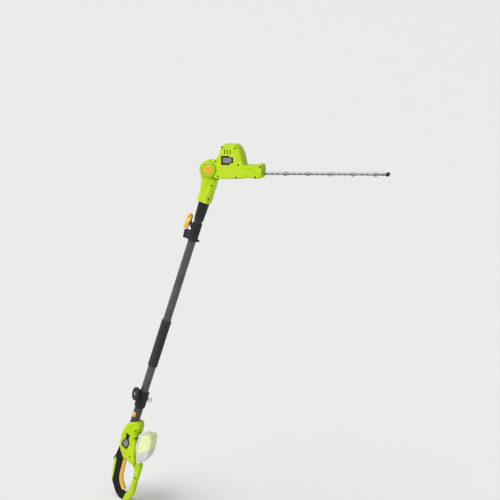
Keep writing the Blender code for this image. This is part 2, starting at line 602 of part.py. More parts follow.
def make_bar(frame, mats):
    bar = block((150, -10, BAR_TOP - 3), (704, 10, BAR_TOP))
    for u in BOLTS:
        bar = join(bar, rod(3.2, (u, 0, BAR_TOP - 8), (u, 0, BLADE_V + 3), 14),
                   rod(7, (u, 0, BLADE_V + 2.5), (u, 0, BLADE_V + 4.3), 18, radius_end=5.6),
                   rod(6.4, (u, 0, BAR_TOP - 8.6), (u, 0, BAR_TOP - 2.9), 6))
    finish("guide_bar", bar, mats["blade"], frame)
    tip = plate([[(699, -24, 2), (711, -24, 3), (711, -10, 3), (699, -10, 2)]], 14, 2)
    tip = cut(tip, block((690, -10.3, BAR_TOP - 3.3), (704.4, 10.3, BAR_TOP + 0.3)))
    finish("tip_guard", tip, mats["plastic"], frame)


# battery
def make_battery(frame, mats):
    form = plate([BATTERY_OUTLINE], 37, 6)
    case = cut(copy(form), plate([BATTERY_TOP], 60),
               block((40, -6, -170), (46.5, 6, -65.5)), block((45.7, -11.6, -170), (50.5, 11.6, -60.5)))
    finish("battery_case", case, mats["battery_grey"], frame)
    cover = keep(form, plate([BATTERY_TOP], 60, inset=GAP))
    cover = cut(cover, block((66, -8, -24), (84, 8, 0)))
    finish("battery_cover", cover, mats["battery_green"], frame)


def make_latch(frame, mats):
    latch = plate([[(67, -19.5, 0), (83, -19.5, 0), (83, -10.5, 2), (67, -12.5, 2)]], 7.2, 1)
    finish("battery_latch", latch, mats["battery_grey"], frame)


# assembly
for leftover in list(bpy.data.objects):
    bpy.data.objects.remove(leftover)

materials = {
    "green": material("green_housing_plastic", (0.36, 0.58, 0.01), 0.42),
    "plastic": material("black_nylon", (0.016, 0.016, 0.018), 0.5),
    "rubber": material("black_soft_grip", (0.012, 0.012, 0.012), 0.75),
    "yellow": material("yellow_control_plastic", (0.75, 0.45, 0.05), 0.42),
    "tube_black": material("black_coated_tube", (0.02, 0.02, 0.023), 0.35, 0.2),
    "tube_grey": material("grey_anodised_tube", (0.07, 0.07, 0.08), 0.38, 0.8),
    "foam": material("black_foam", (0.01, 0.01, 0.01), 0.92),
    "steel": material("zinc_plated_steel", (0.5, 0.5, 0.5), 0.32, 1.0),
    "blade": material("polished_blade_steel", (0.62, 0.62, 0.63), 0.25, 1.0),
    "battery_grey": material("pale_battery_case", (0.62, 0.62, 0.62), 0.45),
    "battery_green": material("pale_green_battery_cover", (0.66, 0.78, 0.42), 0.45),
}

pole = empty("pole_frame", (0, 0, RIM_Z))
make_handle(pole, materials)
make_trigger(empty("trigger_axis", (4, 0, -140), parent=pole), materials)
make_lock_off(empty("lock_off_axis", (0, 0, 0), parent=pole), materials)
make_lower_pole(pole, materials)
make_tube_button(empty("tube_button_axis", (0, 0, 0), parent=pole), materials)

knob_axis = empty("knob_axis", (0, 0, KNOB_Z), parent=pole)
knob_axis.rotation_euler = (0, math.radians(90), math.radians(KNOB_ANGLE))
make_knob(knob_axis, materials)
make_clamp(pole, materials)
make_lever(empty("lever_axis", (LEVER_X, 0, LEVER_Z), parent=pole), materials)

upper = empty("telescope_axis", (0, 0, 0), parent=pole)
make_upper_pole(upper, materials)
button_axis = empty("tilt_button_axis", PIVOT, parent=upper)
button_axis.rotation_euler = (math.radians(90), 0, 0)
make_pivot_button(button_axis, materials)

head = empty("tilt_axis", PIVOT, tilt=HEAD_BEND - 90, parent=upper)
make_head_shells(head, materials)
make_drive(head, materials)
make_pinion(empty("pinion_axis", (MOTOR_U, 0, 0), parent=head), materials)
make_drive_gear(empty("gear_axis", (GEAR_U, 0, 0), parent=head), materials)
make_bar(head, materials)
blade(BLADE_V, "upper_blade", materials, empty("upper_blade_axis", (0, 0, 0), parent=head))
blade(BLADE_V - 2.5, "lower_blade", materials, empty("lower_blade_axis", (0, 0, 0), parent=head))

battery = empty("battery_axis", (0, 0, 0), parent=pole)
make_battery(battery, materials)
make_latch(empty("latch_axis", (0, 0, 0), parent=battery), materials)
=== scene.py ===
import json
import math

import bmesh
import bpy
from mathutils import Matrix, Vector


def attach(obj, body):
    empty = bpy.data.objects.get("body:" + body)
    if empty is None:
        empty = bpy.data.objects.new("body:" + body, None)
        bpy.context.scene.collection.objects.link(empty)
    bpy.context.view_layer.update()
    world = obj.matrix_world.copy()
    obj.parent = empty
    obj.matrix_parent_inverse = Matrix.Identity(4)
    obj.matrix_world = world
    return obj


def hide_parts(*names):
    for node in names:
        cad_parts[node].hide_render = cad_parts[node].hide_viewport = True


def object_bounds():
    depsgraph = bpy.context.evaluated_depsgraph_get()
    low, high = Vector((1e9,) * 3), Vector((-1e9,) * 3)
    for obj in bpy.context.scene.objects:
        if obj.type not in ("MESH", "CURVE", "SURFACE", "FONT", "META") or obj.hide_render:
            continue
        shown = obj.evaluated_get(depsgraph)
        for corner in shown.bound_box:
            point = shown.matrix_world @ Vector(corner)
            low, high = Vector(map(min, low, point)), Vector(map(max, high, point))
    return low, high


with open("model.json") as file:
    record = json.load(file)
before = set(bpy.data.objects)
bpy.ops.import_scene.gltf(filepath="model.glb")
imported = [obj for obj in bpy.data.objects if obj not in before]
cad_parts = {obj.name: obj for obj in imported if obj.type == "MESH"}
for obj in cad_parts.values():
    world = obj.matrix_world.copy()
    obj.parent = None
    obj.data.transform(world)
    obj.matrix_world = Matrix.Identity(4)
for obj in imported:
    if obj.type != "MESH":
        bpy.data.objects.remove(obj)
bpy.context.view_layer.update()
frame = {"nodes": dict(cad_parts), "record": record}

mm = 0.001

# where each part's own drawing sits: the pole's drawing starts at the handle's rim,
# the head's drawing starts on the tilt pin with X along the blades
poleFrame = Matrix.Translation((0, 0, 0.215)) @ Matrix.Scale(mm, 4)
pivot = (-18.5, 0, 1106)
headFrame = poleFrame @ Matrix.Translation(pivot) @ Matrix.Rotation(math.radians(-20), 4, "Y")


def srgb(hexText):
    parts = [int(hexText[i:i + 2], 16) / 255 for i in (1, 3, 5)]
    return (*[c / 12.92 if c <= 0.04045 else ((c + 0.055) / 1.055) ** 2.4 for c in parts], 1.0)


def addNode(material, kind, settings=None, links=None, inputs=None):
    node = material.node_tree.nodes.new(kind)
    for key, value in (settings or {}).items():
        setattr(node, key, value)
    for key, value in (inputs or {}).items():
        node.inputs[key].default_value = value
    for key, source in (links or {}).items():
        material.node_tree.links.new(source, node.inputs[key])
    return node


def newMaterial(name):
    material = bpy.data.materials.new(name)
    material.use_nodes = True
    material.node_tree.nodes.clear()
    return material


def colourRamp(material, source, stops):
    node = addNode(material, "ShaderNodeValToRGB", links={"Fac": source})
    ramp = node.color_ramp
    while len(ramp.elements) < len(stops):
        ramp.elements.new(0.5)
    for element, (position, value) in zip(ramp.elements, stops):
        element.position = position
        element.color = value
    return node


def grey(value):
    return (value, value, value, 1.0)


def finishMaterial(material, colour, roughness, normal, settings):
    shader = addNode(material, "ShaderNodeBsdfPrincipled",
                     links={"Base Color": colour, "Roughness": roughness, "Normal": normal}, inputs=settings)
    addNode(material, "ShaderNodeOutputMaterial", links={"Surface": shader.outputs["BSDF"]})
    return material


# moulded ABS or nylon: an even colour that is slightly cloudy, a spark-eroded grain of about
# 0.4 mm that breaks up the gloss, and paler rubbed edges
def mouldedPlastic(name, base, cloudy, rubbed, roughness, grain, grainSize=0.4, coat=0.0, gloss=0.5):
    material = newMaterial(name)
    place = addNode(material, "ShaderNodeTexCoord")
    mottle = addNode(material, "ShaderNodeTexNoise", links={"Vector": place.outputs["Object"]},
                     inputs={"Scale": 1 / 0.035, "Detail": 4.0, "Roughness": 0.6})
    body = colourRamp(material, mottle.outputs["Fac"], ((0.35, srgb(base)), (0.68, srgb(cloudy))))
    edge = addNode(material, "ShaderNodeNewGeometry")
    patchy = addNode(material, "ShaderNodeTexNoise", links={"Vector": place.outputs["Object"]},
                     inputs={"Scale": 1 / 0.006, "Detail": 3.0})
    worn = addNode(material, "ShaderNodeMath", {"operation": "MULTIPLY_ADD"},
                   {0: patchy.outputs["Fac"], 2: edge.outputs["Pointiness"]}, {1: 0.10})
    wear = colourRamp(material, worn.outputs[0], ((0.585, grey(0)), (0.68, grey(1))))
    wearAmount = addNode(material, "ShaderNodeMath", {"operation": "MULTIPLY"}, {0: wear.outputs["Color"]},
                         {1: 0.45})
    colour = addNode(material, "ShaderNodeMix", {"data_type": "RGBA"},
                     {"Factor": wearAmount.outputs[0], "A": body.outputs["Color"]}, {"B": srgb(rubbed)})
    smear = addNode(material, "ShaderNodeTexNoise", links={"Vector": place.outputs["Object"]},
                    inputs={"Scale": 1 / 0.018, "Detail": 5.0, "Distortion": 0.6})
    shine = addNode(material, "ShaderNodeMapRange", links={"Value": smear.outputs["Fac"]},
                    inputs={"From Min": 0.3, "From Max": 0.7, "To Min": roughness - 0.08,
                            "To Max": roughness + 0.12})
    pits = addNode(material, "ShaderNodeTexVoronoi", {"feature": "SMOOTH_F1"},
                   {"Vector": place.outputs["Object"]}, {"Scale": 1000 / grainSize, "Smoothness": 0.6})
    skin = addNode(material, "ShaderNodeBump", links={"Height": pits.outputs["Distance"]},
                   inputs={"Strength": grain, "Distance": 0.00012})
    ripple = addNode(material, "ShaderNodeBump",
                     links={"Height": mottle.outputs["Fac"], "Normal": skin.outputs["Normal"]},
                     inputs={"Strength": 0.05, "Distance": 0.0005})
    coating = {"IOR": 1.53, "Coat Weight": coat, "Coat Roughness": 0.25, "Specular IOR Level": gloss}
    return finishMaterial(material, colour.outputs["Result"], shine.outputs["Result"],
                          ripple.outputs["Normal"], coating)


# thermoplastic rubber over-moulding: matt, with raised pips 1.9 mm apart that a hand has polished on
# top; real pips are nearer 1 mm and are drawn coarser here so that they show
def pippedRubber(name):
    material = newMaterial(name)
    place = addNode(material, "ShaderNodeTexCoord")
    pips = addNode(material, "ShaderNodeTexVoronoi", {"feature": "F1"}, {"Vector": place.outputs["Object"]},
                   {"Scale": 1 / 0.0019, "Randomness": 0.12})
    top = addNode(material, "ShaderNodeMapRange", links={"Value": pips.outputs["Distance"]},
                  inputs={"From Min": 0.28, "From Max": 0.46, "To Min": 1.0, "To Max": 0.0})
    mottle = addNode(material, "ShaderNodeTexNoise", links={"Vector": place.outputs["Object"]},
                     inputs={"Scale": 1 / 0.02, "Detail": 4.0})
    colour = colourRamp(material, mottle.outputs["Fac"], ((0.3, srgb("#08090a")), (0.7, srgb("#111214"))))
    gloss = addNode(material, "ShaderNodeMapRange", links={"Value": top.outputs["Result"]},
                    inputs={"To Min": 0.78, "To Max": 0.58})
    bump = addNode(material, "ShaderNodeBump", links={"Height": top.outputs["Result"]},
                   inputs={"Strength": 0.55, "Distance": 0.00035})
    return finishMaterial(material, colour.outputs["Color"], gloss.outputs["Result"], bump.outputs["Normal"],
                          {"IOR": 1.5, "Specular IOR Level": 0.3, "Sheen Weight": 0.03,
                           "Sheen Roughness": 0.4})


# extruded aluminium tube with a coloured coating: fine draw lines run along the pole, the coat
# is semi-gloss, and sliding rubs it to bare metal in thin lengthwise scuffs
def coatedTube(name, base, pale, metallic, roughness, scuffs):
    material = newMaterial(name)
    place = addNode(material, "ShaderNodeTexCoord")
    stretched = addNode(material, "ShaderNodeMapping", links={"Vector": place.outputs["Object"]},
                        inputs={"Scale": (1.0, 1.0, 0.012)})
    lines = addNode(material, "ShaderNodeTexNoise", links={"Vector": stretched.outputs["Vector"]},
                    inputs={"Scale": 1 / 0.0011, "Detail": 3.0})
    cloudy = addNode(material, "ShaderNodeTexNoise", links={"Vector": place.outputs["Object"]},
                     inputs={"Scale": 1 / 0.05, "Detail": 5.0})
    body = colourRamp(material, cloudy.outputs["Fac"], ((0.35, srgb(base)), (0.7, srgb(pale))))
    longMarks = addNode(material, "ShaderNodeMapping", links={"Vector": place.outputs["Object"]},
                        inputs={"Scale": (1.0, 1.0, 0.05), "Location": (0.3, 0.1, 0.0)})
    marks = addNode(material, "ShaderNodeTexNoise", links={"Vector": longMarks.outputs["Vector"]},
                    inputs={"Scale": 1 / 0.003, "Detail": 2.0})
    bare = colourRamp(material, marks.outputs["Fac"], ((0.69, grey(0)), (0.76, grey(scuffs))))
    colour = addNode(material, "ShaderNodeMix", {"data_type": "RGBA"},
                     {"Factor": bare.outputs["Color"], "A": body.outputs["Color"]}, {"B": srgb("#8f9094")})
    gloss = addNode(material, "ShaderNodeMapRange", links={"Value": cloudy.outputs["Fac"]},
                    inputs={"From Min": 0.3, "From Max": 0.7, "To Min": roughness - 0.05,
                            "To Max": roughness + 0.08})
    bump = addNode(material, "ShaderNodeBump", links={"Height": lines.outputs["Fac"]},
                   inputs={"Strength": 0.16, "Distance": 0.00008})
    return finishMaterial(material, colour.outputs["Result"], gloss.outputs["Result"], bump.outputs["Normal"],
                          {"Metallic": metallic, "Coat Weight": 0.15, "Coat Roughness": 0.2})


# closed-cell EVA foam sleeve: open pores where the skin is cut and no gloss; the pores are about
# 0.3 mm on real foam and are drawn at 1.1 mm so that they show
def cellFoam(name):
    material = newMaterial(name)
    place = addNode(material, "ShaderNodeTexCoord")
    cells = addNode(material, "ShaderNodeTexVoronoi", {"feature": "F1"}, {"Vector": place.outputs["Object"]},
                    {"Scale": 1 / 0.0011, "Randomness": 1.0})
    pores = addNode(material, "ShaderNodeMapRange", links={"Value": cells.outputs["Distance"]},
                    inputs={"From Min": 0.05, "From Max": 0.45})
    dents = addNode(material, "ShaderNodeTexNoise", links={"Vector": place.outputs["Object"]},
                    inputs={"Scale": 1 / 0.014, "Detail": 4.0})
    colour = colourRamp(material, dents.outputs["Fac"], ((0.3, srgb("#1b1b1d")), (0.75, srgb("#2c2c2f"))))
    fine = addNode(material, "ShaderNodeBump", links={"Height": pores.outputs["Result"]},
                   inputs={"Strength": 0.45, "Distance": 0.0003})
    soft = addNode(material, "ShaderNodeBump",
                   links={"Height": dents.outputs["Fac"], "Normal": fine.outputs["Normal"]},
                   inputs={"Strength": 0.35, "Distance": 0.0012})
    gloss = addNode(material, "ShaderNodeMapRange", links={"Value": cells.outputs["Distance"]},
                    inputs={"To Min": 0.95, "To Max": 0.8})
    return finishMaterial(material, colour.outputs["Color"], gloss.outputs["Result"], soft.outputs["Normal"],
                          {"Sheen Weight": 0.12, "Sheen Roughness": 0.5})


# zinc-plated or ground steel: cool grey, directional grinding marks, slightly uneven gloss
def plainSteel(name, base, dull, roughness, grindAlong, lineWidth=0.0007, strength=0.15):
    material = newMaterial(name)
    place = addNode(material, "ShaderNodeTexCoord")
    stretched = addNode(material, "ShaderNodeMapping", links={"Vector": place.outputs["Object"]},
                        inputs={"Scale": grindAlong})
    lines = addNode(material, "ShaderNodeTexNoise", links={"Vector": stretched.outputs["Vector"]},
                    inputs={"Scale": 1 / lineWidth, "Detail": 3.0})
    cloudy = addNode(material, "ShaderNodeTexNoise", links={"Vector": place.outputs["Object"]},
                     inputs={"Scale": 1 / 0.012, "Detail": 6.0, "Roughness": 0.65})
    body = colourRamp(material, cloudy.outputs["Fac"], ((0.35, srgb(base)), (0.75, srgb(dull))))
    gloss = addNode(material, "ShaderNodeMapRange", links={"Value": cloudy.outputs["Fac"]},
                    inputs={"From Min": 0.3, "From Max": 0.75, "To Min": roughness - 0.05,
                            "To Max": roughness + 0.12})
    bump = addNode(material, "ShaderNodeBump", links={"Height": lines.outputs["Fac"]},
                   inputs={"Strength": strength, "Distance": 0.00006})
    return finishMaterial(material, body.outputs["Color"], gloss.outputs["Result"], bump.outputs["Normal"],
                          {"Metallic": 1.0})


finishes = {
    "green_plastic": mouldedPlastic("green ABS housing", "#a8cc00", "#b0d400", "#c9de34", 0.42, 0.35,
                                    gloss=0.18),
    "black_plastic": mouldedPlastic("black glass-filled nylon", "#16171a", "#202124", "#47484c", 0.50, 0.45,
                                    gloss=0.3),
    "yellow_plastic": mouldedPlastic("yellow acetal control", "#e0b232", "#e7bc42", "#f3da8c", 0.38, 0.25,
                                     gloss=0.35),
    "soft_grip": pippedRubber("black rubber overmould"),
    "foam": cellFoam("black EVA foam sleeve"),
    "black_tube": coatedTube("black coated aluminium tube", "#2f3033", "#3a3b3f", 0.25, 0.34, 0.35),
    "grey_tube": coatedTube("dark grey anodised aluminium tube", "#4c4c51", "#5a5a60", 0.55, 0.36, 0.12),
    "steel": plainSteel("zinc-plated steel", "#b9bbbd", "#8c8e90", 0.3, (1.0, 1.0, 0.2)),
    "blade_steel": plainSteel("ground cutter steel", "#e3e4e6", "#c3c5c8", 0.2, (0.05, 1.0, 1.0), 0.0005,
                              0.2),
    "battery_grey": mouldedPlastic("pale grey ABS battery case", "#c4c6c2", "#cfd1cc", "#e6e7e2", 0.42, 0.35),
    "battery_green": mouldedPlastic("pale green ABS battery cover", "#dbe9a4", "#e3efb4", "#f1f6d2", 0.42,
                                    0.3),
    # the tilt button's centre cap, drawn a deeper orange than the yellow ring round it
    "deeper_orange_centre": mouldedPlastic("orange acetal button cap", "#eba322", "#efad30", "#f6cf80", 0.36, 0.2,
                                     gloss=0.35),
    "badge_grey": mouldedPlastic("smoked grey badge window", "#6f7072", "#838486", "#a5a6a8", 0.2, 0.05,
                                 coat=0.4),
    # the same cutter steel as the upper blade, drawn darker as painted shade for the lower cutter lying under
    # the upper one
    "lower_cutter_shaded_steel": plainSteel("oiled lower cutter steel", "#8e9093", "#6c6e71", 0.28, (0.05, 1.0, 1.0),
                              0.0005, 0.2),
    "blackened_steel": plainSteel("blackened screw steel", "#3c3d3f", "#242526", 0.38, (1.0, 1.0, 1.0)),
}
for node in frame["nodes"].values():
    slotName = next(s["material_slot"] for s in frame["record"]["subparts"] if s["node"] == node.name)
    node.data.materials.clear()
    node.data.materials.append(finishes[slotName])
print("finishes made")


def worked(bm, name="work"):
    bmesh.ops.recalc_face_normals(bm, faces=bm.faces)
    mesh = bpy.data.meshes.new(name)
    bm.to_mesh(mesh)
    bm.free()
    piece = bpy.data.objects.new(name, mesh)
    bpy.context.scene.collection.objects.link(piece)
    return piece


def cornerFace(corners, segments):
    # one face in the XZ plane; each corner is (x, z, radius) and is rounded by a vertex bevel
    bm = bmesh.new()
    verts = [bm.verts.new((x, 0, z)) for x, z, _ in corners]
    bm.faces.new(verts)
    for i, (vert, (x, z, radius)) in enumerate(zip(verts, corners)):
        if radius == 0:
            continue
        here = Vector((x, z))
        before = Vector(corners[i - 1][:2]) - here
        after = Vector(corners[(i + 1) % len(corners)][:2]) - here
        reach = min(radius / math.tan(before.angle(after) / 2), before.length * 0.48, after.length * 0.48)
        bmesh.ops.bevel(bm, geom=[vert], offset=reach, segments=segments, profile=0.5, affect="VERTICES",
                        material=-1)
    return bm


def panel(outlines, low, high, edge=0.0, inset=0.0, segments=6, rings=4):
    # a flat part from low to high along Y with rounded rims; outlines after the first are holes in it
    flat = bpy.data.curves.new("outline", "CURVE")
    flat.dimensions = "2D"
    flat.fill_mode = "BOTH"
    flat.extrude = (high - low) / 2 - edge
    flat.bevel_depth = edge
    flat.bevel_resolution = rings
    flat.offset = -(edge + inset)
    for corners in outlines:
        bm = cornerFace(corners, segments)
        points = [loop.vert.co.copy() for loop in bm.faces[:][0].loops]
        bm.free()
        spline = flat.splines.new("POLY")
        spline.points.add(len(points) - 1)
        for knot, point in zip(spline.points, points):
            knot.co = (point.x, point.z, 0, 1)
        spline.use_cyclic_u = True
    holder = bpy.data.objects.new("outline", flat)
    bpy.context.scene.collection.objects.link(holder)
    bpy.context.view_layer.update()
    mesh = bpy.data.meshes.new_from_object(holder.evaluated_get(bpy.context.evaluated_depsgraph_get()))
    bpy.data.objects.remove(holder)
    bm = bmesh.new()
    bm.from_mesh(mesh)
    bmesh.ops.remove_doubles(bm, verts=bm.verts, dist=0.002)
    bmesh.ops.rotate(bm, verts=bm.verts, matrix=Matrix.Rotation(math.pi / 2, 3, "X"))
    bmesh.ops.translate(bm, verts=bm.verts, vec=(0, (low + high) / 2, 0))
    return worked(bm)


def rod(radius, start, end, sides=48, edge=0.0, endRadius=None):
    start, end = Vector(start), Vector(end)
    bm = bmesh.new()
    bmesh.ops.create_cone(bm, cap_ends=True, segments=sides, radius1=radius,
                          radius2=radius if endRadius is None else endRadius, depth=(end - start).length)
    if edge:
        rim = [e for e in bm.edges if abs(e.verts[0].co.z - e.verts[1].co.z) < 1e-5]
        bmesh.ops.bevel(bm, geom=rim, offset=edge, segments=3, profile=0.5, affect="EDGES", material=-1)
    turn = (end - start).to_track_quat("Z", "Y").to_matrix().to_4x4()
    bmesh.ops.transform(bm, matrix=Matrix.Translation((start + end) / 2) @ turn, verts=bm.verts)
    return worked(bm)


def block(low, high, edge=0.0, rings=3):
    low, high = Vector(low), Vector(high)
    bm = bmesh.new()
    bmesh.ops.create_cube(bm, size=1)
    bmesh.ops.scale(bm, vec=high - low, verts=bm.verts)
    bmesh.ops.translate(bm, vec=(low + high) / 2, verts=bm.verts)
    if edge:
        bmesh.ops.bevel(bm, geom=bm.edges[:], offset=edge, segments=rings, profile=0.5, affect="EDGES",
                        material=-1)
    return worked(bm)


def lathe(profile, steps=96, rings=4):
    # spins a closed profile of (radius, height, corner radius) round Z
    bm = cornerFace(profile, rings)
    for face in bm.faces[:]:
        bm.faces.remove(face)
    bmesh.ops.spin(bm, geom=bm.verts[:] + bm.edges[:], cent=(0, 0, 0), axis=(0, 0, 1), angle=math.tau,
                   steps=steps, use_merge=True)
    bmesh.ops.remove_doubles(bm, verts=bm.verts, dist=0.0005)
    bmesh.ops.delete(bm, geom=[edge for edge in bm.edges if not edge.link_faces], context="EDGES")
    return worked(bm)


def boolean(base, tools, operation):
    for tool in tools:
        change = base.modifiers.new(operation, "BOOLEAN")
        change.operation = operation
        change.solver = "MANIFOLD"
        change.object = tool
        bpy.context.view_layer.update()
        shape = bpy.data.meshes.new_from_object(base.evaluated_get(bpy.context.evaluated_depsgraph_get()))
        base.modifiers.clear()
        base.data = shape
        bpy.data.objects.remove(tool)
    return base


def carve(base, *tools):
    return boolean(base, tools, "DIFFERENCE")


def weld(base, *parts):
    return boolean(base, parts, "UNION")


def within(base, *limits):
    return boolean(base, limits, "INTERSECT")


def gather(*parts):
    # loose parts of one moulding or one fixing, kept in a single object
    bm = bmesh.new()
    for part in parts:
        bm.from_mesh(part.data)
        bpy.data.objects.remove(part)
    return worked(bm)


def duplicate(piece):
    made = bpy.data.objects.new("work", piece.data.copy())
    bpy.context.scene.collection.objects.link(made)
    return made


def moved(piece, offset=(0, 0, 0), turn=0.0, axis="Z", about=(0, 0, 0)):
    there = Matrix.Translation(about)
    piece.data.transform(Matrix.Translation(offset) @ there
                         @ Matrix.Rotation(math.radians(turn), 4, axis) @ there.inverted())
    return piece


def mirrored(piece):
    bm = bmesh.new()
    bm.from_mesh(piece.data)
    bmesh.ops.scale(bm, vec=(1, -1, 1), verts=bm.verts)
    bmesh.ops.reverse_faces(bm, faces=bm.faces)
    bm.to_mesh(piece.data)
    bm.free()
    return piece


def halfOf(form, side, seam=0.15):
    # one moulding of a pair that meets on the mid-plane; side -1 is the near one
    near, beyond = sorted((side * seam, side * 400))
    return within(form, block((-900, near, -900), (900, beyond, 2500)))


def across(radius, u, v, start, end, sides=48, edge=0.0):
    # a rod that lies along Y
    return rod(radius, (u, start, v), (u, end, v), sides, edge)


def install(name, piece, placing, body, slotName, replaced=(), softEdge=0.0, crease=32, finish=None):
    # puts a finished piece in the object's frame, softens its edges and hangs it on its body
    piece.name = name
    piece.data.name = name
    if softEdge:
        bm = bmesh.new()
        bm.from_mesh(piece.data)
        bmesh.ops.dissolve_limit(bm, angle_limit=math.radians(0.5), verts=bm.verts, edges=bm.edges)
        bm.to_mesh(piece.data)
        bm.free()
    piece.data.transform(placing)
    piece.data.materials.clear()
    piece.data.materials.append(finishes[finish or slotName])
    piece.data.shade_smooth()
    if softEdge:
        soften = piece.modifiers.new("soft edges", "BEVEL")
        soften.width = softEdge * mm
        soften.segments = 2
        soften.limit_method = "ANGLE"
        soften.angle_limit = math.radians(crease)
    even = piece.modifiers.new("even shading", "WEIGHTED_NORMAL")
    even.weight = 80
    even.keep_sharp = True
    piece.data.set_sharp_from_angle(angle=math.radians(crease))
    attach(piece, body)
    if replaced:
        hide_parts(*replaced)
    return piece


def addScrews(name, nodeName, screws, placing, body, depth=5.5):
    # pan head screws with a six-point socket, sunk in the near moulding's pockets
    for i, (u, v, surface) in enumerate(screws):
        top = -surface + depth - 0.3
        fixing = weld(across(3.3, u, v, top - 2.3, top, 32, edge=0.7),
                      across(1.6, u, v, top - 1, surface - 7, 16))
        fixing = carve(fixing, across(1.7, u, v, top - 4, top - 1.2, 6))
        install(f"{name}_{i + 1}", fixing, placing, body, "steel", (f"{nodeName}_{i + 1}",),
                finish="blackened_steel")


def pocketed(half, screws, side, depth=5.5):
    # screw pockets in the near moulding and blind holes in the far one
    for u, v, surface in screws:
        if side < 0:
            half = carve(half, across(3.7, u, v, -60, -surface + depth), across(1.95, u, v, -surface, 5, 24))
        else:
            half = carve(half, across(1.95, u, v, -5, surface - 6, 24))
    return half


# the rear handle: two green halves, black grip skins, paddle and lock-off button
handle = {
    "halfWidth": 27, "loopHalf": 15, "bodyEdge": 8, "loopEdge": 5, "wall": 3, "loopWall": 3.5,
    "coreHalf": 12, "wellHalf": 9.8,
    "body": [(-17, 2, 30), (-28, -22, 40), (-31, -52, 120), (-26, -108, 0), (8, -147, 40), (40, -161, 40),
             (60, -168, 0), (61, -151, 60), (43, -84, 30), (39, -63, 6), (25, -54, 3), (39, -36, 6),
             (40, -8, 40), (34, 14, 8), (18, 18, 10)],
    "loop": [(-26, -104, 0), (-33, -166, 90), (-20, -257, 90), (18, -312, 60), (50, -330, 50), (82, -320, 40),
             (92, -284, 60), (88, -238, 160), (89, -160, 24), (76, -147, 14), (58, -148, 0), (30, -130, 0),
             (0, -100, 0)],
    "hole": [(3, -156, 8), (9, -248, 80), (42, -297, 24), (58, -300, 12), (69, -284, 16), (69, -226, 120),
             (66, -186, 40), (52, -168, 30), (26, -157, 8)],
    "skin": [(-60, -106, 0), (-20, -110, 6), (-17, -127, 14), (1, -149, 14), (9, -160, 8), (26, -250, 30),
             (60, -290, 8), (51, -350, 0), (-60, -350, 0), (-60, -258, 0), (-12, -258, 5), (-21, -172, 30),
             (-28, -163, 4), (-60, -160, 0)],
    "core": [(-22, -112, 0), (-29, -167, 0), (-17, -255, 0), (20, -308, 0), (49, -325, 0), (62, -318, 0),
             (58, -304, 0), (40, -301, 0), (5, -250, 0), (-1, -158, 0), (-3, -130, 0)],
    "well": [(-14, -128, 4), (-15, -185, 0), (-9, -254, 0), (26, -304, 0), (44, -292, 0), (60, -280, 0),
             (24, -150, 0), (14, -128, 4)],
    "badge": [(-11, -39, 3), (7, -46, 3), (5, -60, 4), (16, -82, 6), (11, -110, 5), (-17, -99, 5),
              (-16, -78, 6), (-8, -62, 4)],
    "window": [(-8, -66, 2), (2.5, -69.5, 3), (10.5, -83, 5), (6.6, -102, 4), (-12, -94.5, 4),
               (-11.2, -78, 4)],
    "inlay": [(-19, -114, 2), (-12, -112.5, 2), (12.5, -138, 2), (8, -148, 0), (1, -149, 0), (-17, -127, 0)],
    "screws": [(23.6, -20, 27), (33, -134, 27), (79, -216, 15)],
    "lockSlot": ((-60, -7.6, -184), (-12, 7.6, -160)),
}
bodyHalf, loopHalf = handle["halfWidth"], handle["loopHalf"]
bodyInside, loopInside = bodyHalf - handle["wall"], loopHalf - handle["loopWall"]
coreHalf, wellHalf = handle["coreHalf"], handle["wellHalf"]
form = weld(panel([handle["body"]], -bodyHalf, bodyHalf, handle["bodyEdge"], rings=6),
            panel([handle["loop"], handle["hole"]], -loopHalf, loopHalf, handle["loopEdge"]))
cavity = weld(panel([handle["body"]], -bodyInside, bodyInside, 4, inset=handle["wall"]),
              panel([handle["loop"], handle["hole"]], -loopInside, loopInside, 2, inset=handle["loopWall"]))
form, cavity = halfOf(form, -1), halfOf(cavity, -1, 0.0)
shell = carve(duplicate(form), panel([handle["skin"]], -60, 60), duplicate(cavity))
shell = carve(shell, panel([handle["inlay"]], -60, -12.3, inset=-0.15))
shell = weld(shell, halfOf(panel([handle["core"]], -coreHalf, coreHalf), -1))
for x, z, surface in handle["screws"]:
    shell = weld(shell, across(4.7, x, z, -surface + 2, -0.15, 32))
shell = carve(shell, rod(18.3, (0, 0, -46.3), (0, 0, 60), 96), panel([handle["well"]], -wellHalf, wellHalf),
              block(*handle["lockSlot"]), block((20, -5.8, -104.5), (60, 5.8, -66.5)),
              panel([handle["badge"]], -30, -25.6, inset=-0.3), block((-9, -7.2, -133), (11, 7.2, -109)),
              across(2.8, 4, -140, -14, 14, 24))
for i in range(3):
    vent = block((22, -40, -13 - 10 * i), (60, -14, -9.4 - 10 * i))
    shell = carve(shell, moved(vent, turn=-16, axis="Y", about=(30, 0, -14 - 10 * i)))
far = pocketed(mirrored(duplicate(shell)), handle["screws"], 1)
shell = pocketed(shell, handle["screws"], -1)
install("handleShells", gather(shell, far), poleFrame, "housing", "green_plastic",
        ("handle_shell_left", "handle_shell_right"), softEdge=0.5)

skin = within(duplicate(form), panel([handle["skin"]], -60, 60, inset=0.3))
skin = carve(skin, panel([handle["inlay"]], -60, -12.3, inset=-0.15),
             panel([handle["core"]], -12.3, 12.3, inset=-0.3),
             halfOf(panel([handle["body"]], -bodyInside, bodyInside, 4, inset=handle["wall"]), -1, 0.0),
             panel([handle["well"]], -wellHalf, wellHalf), block(*handle["lockSlot"]))
install("gripSkins", gather(skin, mirrored(duplicate(skin))), poleFrame, "housing", "soft_grip",
        ("grip_overmould_left", "grip_overmould_right"), softEdge=0.6)
inlay = carve(within(form, panel([handle["inlay"]], -60, -13, inset=0.1)), cavity)
install("gripInlays", gather(inlay, mirrored(duplicate(inlay))), poleFrame, "housing", "yellow_plastic",
        softEdge=0.4)

